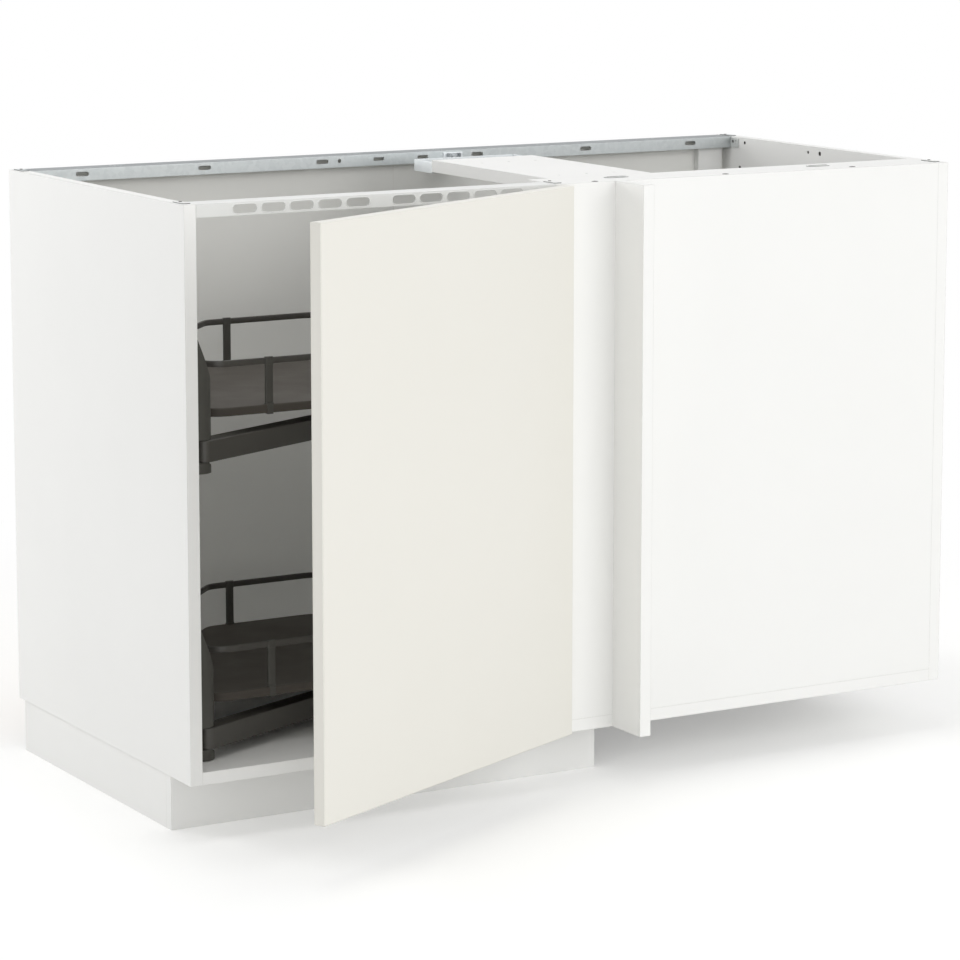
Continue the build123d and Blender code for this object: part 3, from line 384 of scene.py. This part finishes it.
def grow(name, body, seed, tree, sizes, replaced=()):
    piece = bpy.data.objects.new(name, seed)
    bpy.context.scene.collection.objects.link(piece)
    modifier = piece.modifiers.new(name, "NODES")
    modifier.node_group = tree
    for item in tree.interface.items_tree:
        if item.item_type == "SOCKET" and item.in_out == "INPUT" and item.name in sizes:
            modifier[item.identifier] = float(sizes[item.name])
    bpy.context.view_layer.update()
    shaped = piece.evaluated_get(bpy.context.evaluated_depsgraph_get())
    plain = bpy.data.meshes.new_from_object(shaped)
    piece.modifiers.remove(modifier)
    piece.data = plain
    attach(piece, body)
    if replaced:
        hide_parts(*replaced)
    print(name, len(plain.polygons), "faces")
    return piece


def islands(name):
    # The separate solids of a CAD node, each as a list of its points.
    work = bmesh.new()
    work.from_mesh(nodes[name].data)
    bmesh.ops.remove_doubles(work, verts=work.verts, dist=0.00001)
    left, found = set(work.verts), []
    while left:
        group, edge = set(), [left.pop()]
        while edge:
            vert = edge.pop()
            group.add(vert)
            for link in vert.link_edges:
                other = link.other_vert(vert)
                if other in left:
                    left.remove(other)
                    edge.append(other)
        found.append([v.co.copy() for v in group])
    work.free()
    return sorted(found, key=lambda pts: sum((p.x + 3 * p.y + 7 * p.z for p in pts)) / len(pts))


def spotAt(at, facing=(0, 0, 1), along=(1, 0, 0)):
    return {"at": Vector(at), "facing": Vector(facing), "along": Vector(along)}


def screwSpots(name, facing, seat):
    # Seats of a node's screws: the middle of each, under its head.
    spots = []
    for points in islands(name):
        middle = sum(points, Vector()) / len(points)
        top = max(point.dot(facing) for point in points)
        at = middle + facing * (top - seat - middle.dot(facing))
        spots.append(spotAt(at, facing, (0, 0, 1)))
    return spots


# Pan head screws with a cross recess, on the hinges and the tray brackets.
screw = {"Head Radius": 4.0 * mm, "Head Height": 2.3 * mm, "Recess Width": 0.9 * mm,
         "Recess Length": 4.4 * mm, "Recess Depth": 1.3 * mm}
screwTree, sizes = startTree("crossHeadScrew", screw)
dome = addNode(screwTree, "GeometryNodeMeshUVSphere", None, {"Segments": 32, "Rings": 16, "Radius": 1.0})
domeSize = addNode(screwTree, "ShaderNodeCombineXYZ", None, {
    0: sizes["Head Radius"], 1: sizes["Head Radius"], 2: sizes["Head Height"]})
flattened = addNode(screwTree, "GeometryNodeTransform", None, {"Geometry": dome, "Scale": domeSize})
barSize = addNode(screwTree, "ShaderNodeCombineXYZ", None, {
    0: sizes["Recess Length"], 1: sizes["Recess Width"], 2: sizes["Recess Depth"]})
bar = addNode(screwTree, "GeometryNodeMeshCube", None, {"Size": barSize})
sunkShare = 0.35
sink = addNode(screwTree, "ShaderNodeMath", {"operation": "MULTIPLY"}, {
    0: sizes["Recess Depth"], 1: sunkShare})
level = addNode(screwTree, "ShaderNodeMath", {"operation": "SUBTRACT"}, {
    0: sizes["Head Height"], 1: sink})
raised = addNode(screwTree, "ShaderNodeCombineXYZ", None, {2: level})
acrossWay = addNode(screwTree, "GeometryNodeTransform", None, {"Geometry": bar, "Translation": raised})
downWay = addNode(screwTree, "GeometryNodeTransform", None, {
    "Geometry": bar, "Translation": raised, "Rotation": (0, 0, pi / 2)})
cut = addNode(screwTree, "GeometryNodeMeshBoolean", {"operation": "DIFFERENCE", "solver": "EXACT"}, {
    "Mesh 1": flattened, "Mesh 2": [acrossWay, downWay]})
endTree(screwTree, onPoints(screwTree, sizes["Geometry"], cut.outputs[0]), turnedSteel)

doorOpen = radians(25.5)
doorNormal = Vector((-sin(doorOpen), cos(doorOpen), 0))
seat = 2.0 * mm
grow("doorHingeScrews", "door", seedMesh("doorScrewSeats", screwSpots("cup_screws", doorNormal, seat)),
     screwTree, screw, ["cup_screws"])
fixedSpots = screwSpots("plate_screws", Vector((-1, 0, 0)), seat)
for storey in ("lower", "upper"):
    fixedSpots += screwSpots(f"bracket_screws_{storey}", Vector((1, 0, 0)), seat)
grow("cabinetScrews", "cabinet", seedMesh("cabinetScrewSeats", fixedSpots), screwTree, screw,
     ["plate_screws", "bracket_screws_lower", "bracket_screws_upper"])

# Two small adjusting screws on each hinge arm.
adjuster = dict(screw, **{"Head Radius": 2.6 * mm, "Head Height": 1.1 * mm, "Recess Width": 0.7 * mm,
                          "Recess Length": 3.2 * mm, "Recess Depth": 0.7 * mm})
armStart = 20 * mm
adjusterDepths = (34 * mm, 54 * mm)
adjusterSpots = []
for points in islands("hinge_arms"):
    face = min(p.x for p in points if p.y > armStart)
    level = (min(p.z for p in points) + max(p.z for p in points)) / 2
    for depth in adjusterDepths:
        adjusterSpots.append(spotAt((face, depth, level), (-1, 0, 0), (0, 0, 1)))
grow("hingeAdjusters", "cabinet", seedMesh("adjusterSeats", adjusterSpots), screwTree, adjuster)

# Screws in the carcass's top edges, where rails and strip are fixed, seen from above.
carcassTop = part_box("side_left")[1].z
topScrew = dict(screw, **{"Head Radius": 5.0 * mm, "Head Height": 0.7 * mm, "Recess Width": 1.1 * mm,
                          "Recess Length": 5.0 * mm, "Recess Depth": 0.8 * mm})
topPlaces = ((652, 9), (877, 10), (1105, 11))
topSpots = [spotAt((x * mm, y * mm, carcassTop)) for x, y in topPlaces]
topScrews = grow("topEdgeScrews", "cabinet", seedMesh("topScrewSeats", topSpots), screwTree, topScrew)
# The first slot is the seeds' own and stays empty. The second is the one that the tree filled.
topScrews.data.materials[1] = darkPowder["material"]

# Ears of the rails that lie over the boards' top edges, each with a dark screw.
ear = {"Length": 32.0 * mm, "Width": 13.0 * mm, "Sheet": 0.9 * mm, "Corner": 2.5 * mm}
for name, finish, slotName, places in (
        ("frontRailEars", whiteEar, "white_steel", ((11, 30), (592, 27), (1264, 30))),
        ("backRailEars", zincEar, "galvanised_steel", ((11, 578), (1264, 578)))):
    earTree, sizes = startTree(name, ear)
    plate = slab(earTree, sizes["Width"], sizes["Length"], sizes["Sheet"], sizes["Corner"])
    endTree(earTree, onPoints(earTree, sizes["Geometry"], plate), finish)
    earSpots = [spotAt((x * mm, y * mm, carcassTop)) for x, y in places]
    grow(name, "cabinet", seedMesh(name + "Seats", earSpots), earTree, ear)
earScrew = {"Head Radius": 2.2 * mm, "Head Height": 1.2 * mm, "Washer Radius": 3.2 * mm,
            "Washer Top": 1.2 * mm, "Washer Height": 0.9 * mm}
screwLift = 0.5 * mm
capTree, sizes = startTree("earScrew", earScrew)
head = addNode(capTree, "GeometryNodeMeshCone", None, {
    "Vertices": 24, "Radius Top": sizes["Head Radius"], "Radius Bottom": sizes["Head Radius"],
    "Depth": sizes["Head Height"]})
washer = addNode(capTree, "GeometryNodeMeshCone", None, {
    "Vertices": 24, "Radius Top": sizes["Washer Top"], "Radius Bottom": sizes["Washer Radius"],
    "Depth": sizes["Washer Height"]})
whole = addNode(capTree, "GeometryNodeJoinGeometry", None, {0: [head, washer]})
endTree(capTree, onPoints(capTree, sizes["Geometry"], whole), darkPowder)
capSpots = [spotAt((x * mm, y * mm, carcassTop + screwLift))
            for x, y in ((12, 36), (594, 38), (1266, 36), (13, 584), (1263, 584))]
grow("earScrews", "cabinet", seedMesh("earScrewSeats", capSpots), capTree, earScrew)

# Moulded inserts round the two slots of the top strip.
insert = {"Length": 37.0 * mm, "Width": 15.0 * mm, "Rim": 1.1 * mm}
insertTree, sizes = startTree("slotInsert", insert)
tube = slotRing(insertTree, sizes["Length"], sizes["Width"], sizes["Rim"])
# The ear finish paints the ring's walls dark, painted shade round each insert.
endTree(insertTree, onPoints(insertTree, sizes["Geometry"], tube), whiteEar, roundCrease)
insertLift = 0.2 * mm
insertSpots = [spotAt((x * mm, y * mm, carcassTop + insertLift)) for x, y in ((713, 49), (1069, 49))]
grow("slotInserts", "cabinet", seedMesh("insertSeats", insertSpots), insertTree, insert)

# Dark discs of painted shade just under the right side's face in its drilled holes, and just in front of
# it behind the holes of the rail plates.
bore = {"Radius": 3.4 * mm, "Depth": 0.05 * mm}
boreTree, sizes = startTree("paintedHoleShadeDisc", bore)
disc = addNode(boreTree, "GeometryNodeMeshCone", None, {
    "Vertices": 32, "Radius Top": sizes["Radius"], "Radius Bottom": sizes["Radius"],
    "Depth": sizes["Depth"]})
endTree(boreTree, onPoints(boreTree, sizes["Geometry"], disc), paintedHoleShade)
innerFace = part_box("side_right")[0].x
for name, radius, depth, places in (
        ("wideHoles", 3.4, 0.8, ((308.0, 870.0), (532.0, 830.0))),
        ("narrowHoles", 2.4, 0.8, ((340.0, 870.0),)),
        ("plateHoles", 2.5, -0.1, ((518.0, 872.0), (550.8, 872.0)))):
    boreSpots = [spotAt((innerFace + depth * mm, y * mm, z * mm), (-1, 0, 0), (0, 0, 1))
                 for y, z in places]
    grow(name, "cabinet", seedMesh(name + "Seats", boreSpots), boreTree,
         dict(bore, Radius=radius * mm))

# Pressed rims round the vent slots of the front rail.
rim = {"Slot Length": 37.2 * mm, "Slot Height": 13.2 * mm, "Rim Radius": 0.8 * mm}
rimTree, sizes = startTree("ventRim", rim)
tube = slotRing(rimTree, sizes["Slot Length"], sizes["Slot Height"], sizes["Rim Radius"])
endTree(rimTree, onPoints(rimTree, sizes["Geometry"], tube), whitePowder, roundCrease)
vents = {"middle": 300.0, "apart": 122.6, "pitch": 43.3, "level": 871.0, "proud": 0.1}
ventSpots = []
for side in (-1, 1):
    for step in range(-2, 3):
        x = vents["middle"] + side * vents["apart"] + step * vents["pitch"]
        ventSpots.append(spotAt((x * mm, vents["proud"] * mm, vents["level"] * mm), (0, -1, 0)))
grow("ventRims", "cabinet", seedMesh("ventSeats", ventSpots), rimTree, rim)

# Adjustable feet: ribbed stem, square cap, and a wide foot with a knurled ring.
foot = {"Cap Side": 62.0 * mm, "Cap Height": 4.0 * mm, "Stem Radius": 14.2 * mm, "Rib Depth": 1.8 * mm,
        "Foot Radius": 26.0 * mm, "Foot Height": 9.0 * mm, "Whole Height": 80.0 * mm,
        "Rib Width": 2.4 * mm, "Rib Round": 0.7 * mm, "Cap Round": 8.0 * mm, "Collar Height": 14.5 * mm,
        "Tooth Length": 3.0 * mm, "Tooth Width": 2.2 * mm, "Tooth Height": 15.0 * mm,
        "Tooth Round": 0.6 * mm, "Sole Share": 0.9, "Grip Share": 0.74}
footTree, sizes = startTree("adjustableFoot", foot)
stemHeight = addNode(footTree, "ShaderNodeMath", {"operation": "SUBTRACT"}, {
    0: sizes["Whole Height"], 1: sizes["Cap Height"]})
stem = addNode(footTree, "GeometryNodeMeshCone", None, {
    "Vertices": 32, "Radius Top": sizes["Stem Radius"], "Radius Bottom": sizes["Stem Radius"],
    "Depth": stemHeight})
ring = addNode(footTree, "GeometryNodeMeshCircle", None, {"Vertices": 12, "Radius": sizes["Stem Radius"]})
outward = addNode(footTree, "GeometryNodeInputPosition")
aimed = addNode(footTree, "FunctionNodeAxesToRotation", {"primary_axis": "X", "secondary_axis": "Z"}, {
    0: outward, 1: (0, 0, 1)})
ribSpan = addNode(footTree, "ShaderNodeMath", {"operation": "MULTIPLY"}, {0: sizes["Rib Depth"], 1: 2})
rib = slab(footTree, ribSpan, sizes["Rib Width"], stemHeight, sizes["Rib Round"])
ribs = addNode(footTree, "GeometryNodeInstanceOnPoints", None, {
    "Points": ring, "Instance": rib, "Rotation": aimed})
soleTop = addNode(footTree, "ShaderNodeMath", {"operation": "MULTIPLY"}, {
    0: sizes["Foot Radius"], 1: sizes["Sole Share"]})
sole = addNode(footTree, "GeometryNodeMeshCone", None, {
    "Vertices": 40, "Radius Top": soleTop, "Radius Bottom": sizes["Foot Radius"],
    "Depth": sizes["Foot Height"]})
gripRadius = addNode(footTree, "ShaderNodeMath", {"operation": "MULTIPLY"}, {
    0: sizes["Foot Radius"], 1: sizes["Grip Share"]})
grip = addNode(footTree, "GeometryNodeMeshCircle", None, {"Vertices": 30, "Radius": gripRadius})
tooth = slab(footTree, sizes["Tooth Length"], sizes["Tooth Width"], sizes["Tooth Height"],
             sizes["Tooth Round"])
teeth = addNode(footTree, "GeometryNodeInstanceOnPoints", None, {
    "Points": grip, "Instance": tooth, "Rotation": aimed})
collar = addNode(footTree, "GeometryNodeMeshCone", None, {
    "Vertices": 40, "Radius Top": gripRadius, "Radius Bottom": gripRadius,
    "Depth": sizes["Collar Height"]})
cap = slab(footTree, sizes["Cap Side"], sizes["Cap Side"], sizes["Cap Height"], sizes["Cap Round"])
capRise = addNode(footTree, "ShaderNodeCombineXYZ", None, {2: stemHeight})
capPlaced = addNode(footTree, "GeometryNodeTransform", None, {"Geometry": cap, "Translation": capRise})
whole = addNode(footTree, "GeometryNodeJoinGeometry", None, {
    0: [stem, ribs, sole, teeth, collar, capPlaced]})
endTree(footTree, onPoints(footTree, sizes["Geometry"], whole), blackPlastic)
footSpots = []
for points in islands("legs"):
    low = Vector((min(p.x for p in points), min(p.y for p in points), 0))
    high = Vector((max(p.x for p in points), max(p.y for p in points), 0))
    footSpots.append(spotAt((low + high) / 2))
grow("adjustableFeet", "cabinet", seedMesh("footPlaces", footSpots), footTree, foot,
     ["legs"])

# Guard rails of the trays: a flat bar with soft edges that follows the tray's outline, set in a
# little. The outline's corners and their rounds are those of the tray, in millimetres.
tray = {"corners": ((76, 96), (76, 300), (266, 498), (450, 500), (600, 408), (866, 392), (866, 222),
                    (730, 192), (676, 246), (560, 96)),
        "rounds": (34, 110, 30, 90, 90, 100, 84, 40, 40, 150), "inset": 3.75}
guard = {"Bar Height": 9.0 * mm, "Bar Thickness": 3.5 * mm, "Edge Round": 1.2 * mm}


def insetLoop(corners, rounds, inset):
    # Moves every side of the outline inwards; outer corners turn tighter and inner ones wider.
    count, loop = len(corners), []
    for i in range(count):
        before, here, after = (Vector(corners[(i + k) % count]) for k in (-1, 0, 1))
        first, second = (here - before).normalized(), (after - here).normalized()
        turnWay = first.cross(second)
        # The corners run clockwise, so the inside is on the right of each side.
        fromFirst, fromSecond = Vector((first.y, -first.x)), Vector((second.y, -second.x))
        inward = (fromFirst + fromSecond).normalized()
        shift = inset / inward.dot(fromFirst)
        loop.append((here + inward * shift, rounds[i] + (inset if turnWay > 0 else -inset)))
    return loop


guardLoop = insetLoop(tray["corners"], tray["rounds"], tray["inset"])
guardTree, sizes = startTree("guardBar", guard)
path = addNode(guardTree, "GeometryNodeMeshToCurve", None, {0: sizes["Geometry"]})
bend = addNode(guardTree, "GeometryNodeInputNamedAttribute", {"data_type": "FLOAT"}, {"Name": "bend"})
bent = addNode(guardTree, "GeometryNodeFilletCurve", {"mode": "POLY"}, {
    "Curve": path, "Radius": bend, "Count": 14})
upright = addNode(guardTree, "GeometryNodeSetCurveNormal", {"mode": "Z_UP"}, {0: bent})
section = addNode(guardTree, "GeometryNodeCurvePrimitiveQuadrilateral", None, {
    0: sizes["Bar Thickness"], 1: sizes["Bar Height"]})
softSection = addNode(guardTree, "GeometryNodeFilletCurve", {"mode": "POLY"}, {
    "Curve": section, "Radius": sizes["Edge Round"], "Count": 3})
bar = addNode(guardTree, "GeometryNodeCurveToMesh", None, {0: upright, "Profile Curve": softSection})
endTree(guardTree, bar, darkPowder, barCrease)

# Moulded clips that hold the guard to the deck: post, saddle round the bar, foot and a lug that
# hooks over the deck's edge.
clip = {"Post Width": 12.0 * mm, "Post Depth": 4.6 * mm, "Post Height": 60.0 * mm,
        "Saddle Width": 12.6 * mm, "Saddle Depth": 5.4 * mm, "Saddle Height": 10.6 * mm,
        "Saddle Level": 56.2 * mm, "Lug Width": 9.0 * mm, "Lug Depth": 1.2 * mm,
        "Lug Height": 15.6 * mm, "Lug Offset": 3.9 * mm, "Lug Round": 0.7 * mm,
        "Base Width": 13.0 * mm, "Base Depth": 6.4 * mm, "Base Height": 2.0 * mm,
        "Base Round": 1.6 * mm, "Saddle Round": 1.8 * mm, "Hook Reach": 9.0 * mm,
        "Hook Height": 1.6 * mm, "Hook Inset": 3.6 * mm}
clipTree, sizes = startTree("guardClip", clip)
post = slab(clipTree, sizes["Post Width"], sizes["Post Depth"], sizes["Post Height"],
            sizes["Base Round"])
saddle = slab(clipTree, sizes["Saddle Width"], sizes["Saddle Depth"], sizes["Saddle Height"],
              sizes["Saddle Round"])
saddleRise = addNode(clipTree, "ShaderNodeCombineXYZ", None, {2: sizes["Saddle Level"]})
saddlePlaced = addNode(clipTree, "GeometryNodeTransform", None, {
    "Geometry": saddle, "Translation": saddleRise})
base = slab(clipTree, sizes["Base Width"], sizes["Base Depth"], sizes["Base Height"],
            sizes["Base Round"])
lugDrop = addNode(clipTree, "ShaderNodeMath", {"operation": "SUBTRACT"}, {
    0: sizes["Base Height"], 1: sizes["Lug Height"]})
lug = slab(clipTree, sizes["Lug Width"], sizes["Lug Depth"], sizes["Lug Height"], sizes["Lug Round"])
lugPlace = addNode(clipTree, "ShaderNodeCombineXYZ", None, {1: sizes["Lug Offset"], 2: lugDrop})
lugPlaced = addNode(clipTree, "GeometryNodeTransform", None, {"Geometry": lug, "Translation": lugPlace})
hook = slab(clipTree, sizes["Lug Width"], sizes["Hook Reach"], sizes["Hook Height"],
            sizes["Lug Round"])
hookIn = addNode(clipTree, "ShaderNodeMath", {"operation": "SUBTRACT"}, {
    0: sizes["Lug Offset"], 1: sizes["Hook Inset"]})
hookPlace = addNode(clipTree, "ShaderNodeCombineXYZ", None, {1: hookIn, 2: lugDrop})
hookPlaced = addNode(clipTree, "GeometryNodeTransform", None, {"Geometry": hook, "Translation": hookPlace})
whole = addNode(clipTree, "GeometryNodeJoinGeometry", None, {
    0: [post, saddlePlaced, base, lugPlaced, hookPlaced]})
endTree(clipTree, onPoints(clipTree, sizes["Geometry"], whole), darkNylon)


def insideTray(x, y):
    inside, corners = False, tray["corners"]
    for i, (x1, y1) in enumerate(corners):
        x2, y2 = corners[i - 1]
        if (y1 > y) != (y2 > y) and x < (x2 - x1) * (y - y1) / (y2 - y1) + x1:
            inside = not inside
    return inside


solidPost = {"width": 11.0, "thickness": 3.5, "probe": 12.0}
lean = atan2(solidPost["thickness"], solidPost["width"])


def clipSpot(points):
    # The solid post's far corner is half a width along and half a thickness across its middle. Of
    # the two ways to take the lean off, the one with the smaller spread is the way it lies.
    middle = sum(points, Vector()) / len(points)
    corner = max((p.xy - middle.xy for p in points), key=lambda reach: reach.length).normalized()
    ways = [Matrix.Rotation(sign * lean, 2) @ corner for sign in (-1, 1)]
    side = min(ways, key=lambda way: max(
        abs((p.xy - middle.xy).dot(Vector((-way.y, way.x)))) for p in points))
    probe = middle.xy + Vector((-side.y, side.x)) * solidPost["probe"] * mm
    if insideTray(probe.x / mm, probe.y / mm):
        side = -side
    return spotAt((middle.x, middle.y, min(p.z for p in points)), (0, 0, 1), (side.x, side.y, 0))


for storey in ("lower", "upper"):
    low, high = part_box(f"tray_guard_{storey}")
    level = (low.z + high.z) / 2
    loopMesh = bpy.data.meshes.new(f"guardLoop{storey}")
    count = len(guardLoop)
    loopMesh.from_pydata([(p.x * mm, p.y * mm, level) for p, bendRadius in guardLoop],
                         [(i, (i + 1) % count) for i in range(count)], [])
    data = loopMesh.attributes.new("bend", "FLOAT", "POINT").data
    for item, (p, bendRadius) in zip(data, guardLoop):
        item.value = bendRadius * mm
    grow(f"guardBar_{storey}", f"tray_{storey}", loopMesh, guardTree, guard,
         [f"tray_guard_{storey}"])
    clipSpots = [clipSpot(points) for points in islands(f"guard_posts_{storey}")]
    grow(f"guardClips_{storey}", f"tray_{storey}", seedMesh(f"clipSeats_{storey}", clipSpots), clipTree,
         clip, [f"guard_posts_{storey}"])
print("details grown")


def seenRays(tree):
    # The light path, and 1 for rays of the camera, of a reflection or through a clear part.
    ray = addNode(tree, "ShaderNodeLightPath")
    mirrored = addNode(tree, "ShaderNodeMath", {"operation": "MAXIMUM"}, {
        0: ray.outputs["Is Glossy Ray"], 1: ray.outputs["Is Transmission Ray"]})
    direct = addNode(tree, "ShaderNodeMath", {"operation": "MAXIMUM"}, {
        0: ray.outputs["Is Camera Ray"], 1: mirrored})
    return ray, direct


# Floor: pale and plain. It keeps the shadow round the cabinet and turns white further away.
floorLook = {"reach": 14, "colour": "#F4F4F3", "lift": 0.2, "fadeFrom": 1.0, "fadeTo": 2.0,
             "middle": (0.64, 0.3), "rough": 0.9}
floorMesh = bpy.data.meshes.new("studioFloor")
reach = floorLook["reach"]
floorMesh.from_pydata([(-reach, -reach, 0), (reach, -reach, 0), (reach, reach, 0), (-reach, reach, 0)],
                      [], [(0, 1, 2, 3)])
studioFloor = bpy.data.objects.new("studioFloor", floorMesh)
bpy.context.scene.collection.objects.link(studioFloor)
paper = bpy.data.materials.new("studioPaper")
paper.use_nodes = True
tree = paper.node_tree
matt = tree.nodes["Principled BSDF"]
matt.inputs["Base Color"].default_value = linear(floorLook["colour"])
matt.inputs["Roughness"].default_value = floorLook["rough"]
ray, direct = seenRays(tree)
lifted = addNode(tree, "ShaderNodeEmission", None, {
    "Color": (1, 1, 1, 1), "Strength": floorLook["lift"]})
noLift = addNode(tree, "ShaderNodeEmission", None, {"Strength": 0.0})
seen = addNode(tree, "ShaderNodeMixShader", None, {
    0: ray.outputs["Is Camera Ray"], 1: noLift, 2: lifted})
near = addNode(tree, "ShaderNodeAddShader", None, {0: matt, 1: seen})
place = addNode(tree, "ShaderNodeTexCoord")
centred = addNode(tree, "ShaderNodeMapping", None, {
    "Vector": place.outputs["Object"],
    "Location": (-floorLook["middle"][0], -floorLook["middle"][1], 0)})
away = addNode(tree, "ShaderNodeVectorMath", {"operation": "LENGTH"}, {0: centred})
fade = addNode(tree, "ShaderNodeMapRange", {"interpolation_type": "SMOOTHSTEP"}, {
    "Value": away.outputs["Value"], "From Min": floorLook["fadeFrom"],
    "From Max": floorLook["fadeTo"]})
farShare = addNode(tree, "ShaderNodeMath", {"operation": "MULTIPLY"}, {0: fade, 1: direct})
white = addNode(tree, "ShaderNodeEmission", None, {"Color": (1, 1, 1, 1), "Strength": 1.0})
whole = addNode(tree, "ShaderNodeMixShader", None, {0: farShare, 1: near, 2: white})
tree.links.new(whole.outputs[0], tree.nodes["Material Output"].inputs["Surface"])
studioFloor.data.materials.append(paper)

# Light: an even white room, brighter to the camera and in reflections, and six soft boxes.
world = bpy.data.worlds.new("whiteRoom")
world.use_nodes = True
bpy.context.scene.world = world
tree = world.node_tree
roomLight = {"strength": 0.54, "seen": 1.0}
ray, direct = seenRays(tree)
level = addNode(tree, "ShaderNodeMapRange", None, {
    "Value": direct, "To Min": roomLight["strength"], "To Max": roomLight["seen"]})
tree.links.new(level.outputs[0], tree.nodes["Background"].inputs["Strength"])
tree.nodes["Background"].inputs["Color"].default_value = (1, 1, 1, 1)

softBoxes = {
    "frontBox": {"at": (2.4, -4.6, 2.2), "aim": (0.7, 0, 0.5), "size": 3.0, "watts": 77},
    "nearBox": {"at": (-1.4, -5.2, 1.3), "aim": (0.5, 0, 0.4), "size": 3.0, "watts": 39},
    "leftBox": {"at": (-4.2, -1.0, 2.2), "aim": (0, 0.3, 0.5), "size": 2.6, "watts": 11},
    "rearBox": {"at": (-1.6, 2.4, 1.5), "aim": (0, 0.4, 0.5), "size": 1.2, "watts": 24},
    "overBox": {"at": (0.3, 0.1, 3.2), "aim": (0.4, 0.3, 0.8), "size": 1.4, "watts": 15},
    "sideBox": {"at": (4.2, 1.4, 2.0), "aim": (1.2, 0.3, 0.4), "size": 2.4, "watts": 18},
}
for name, box in softBoxes.items():
    lampData = bpy.data.lights.new(name, "AREA")
    lampData.shape = "SQUARE"
    lampData.size = box["size"]
    lampData.energy = box["watts"]
    lamp = bpy.data.objects.new(name, lampData)
    lamp.location = box["at"]
    aim = Vector(box["aim"]) - Vector(box["at"])
    lamp.rotation_euler = aim.to_track_quat("-Z", "Y").to_euler()
    bpy.context.scene.collection.objects.link(lamp)
print("studio lit")

bpy.context.view_layer.update()
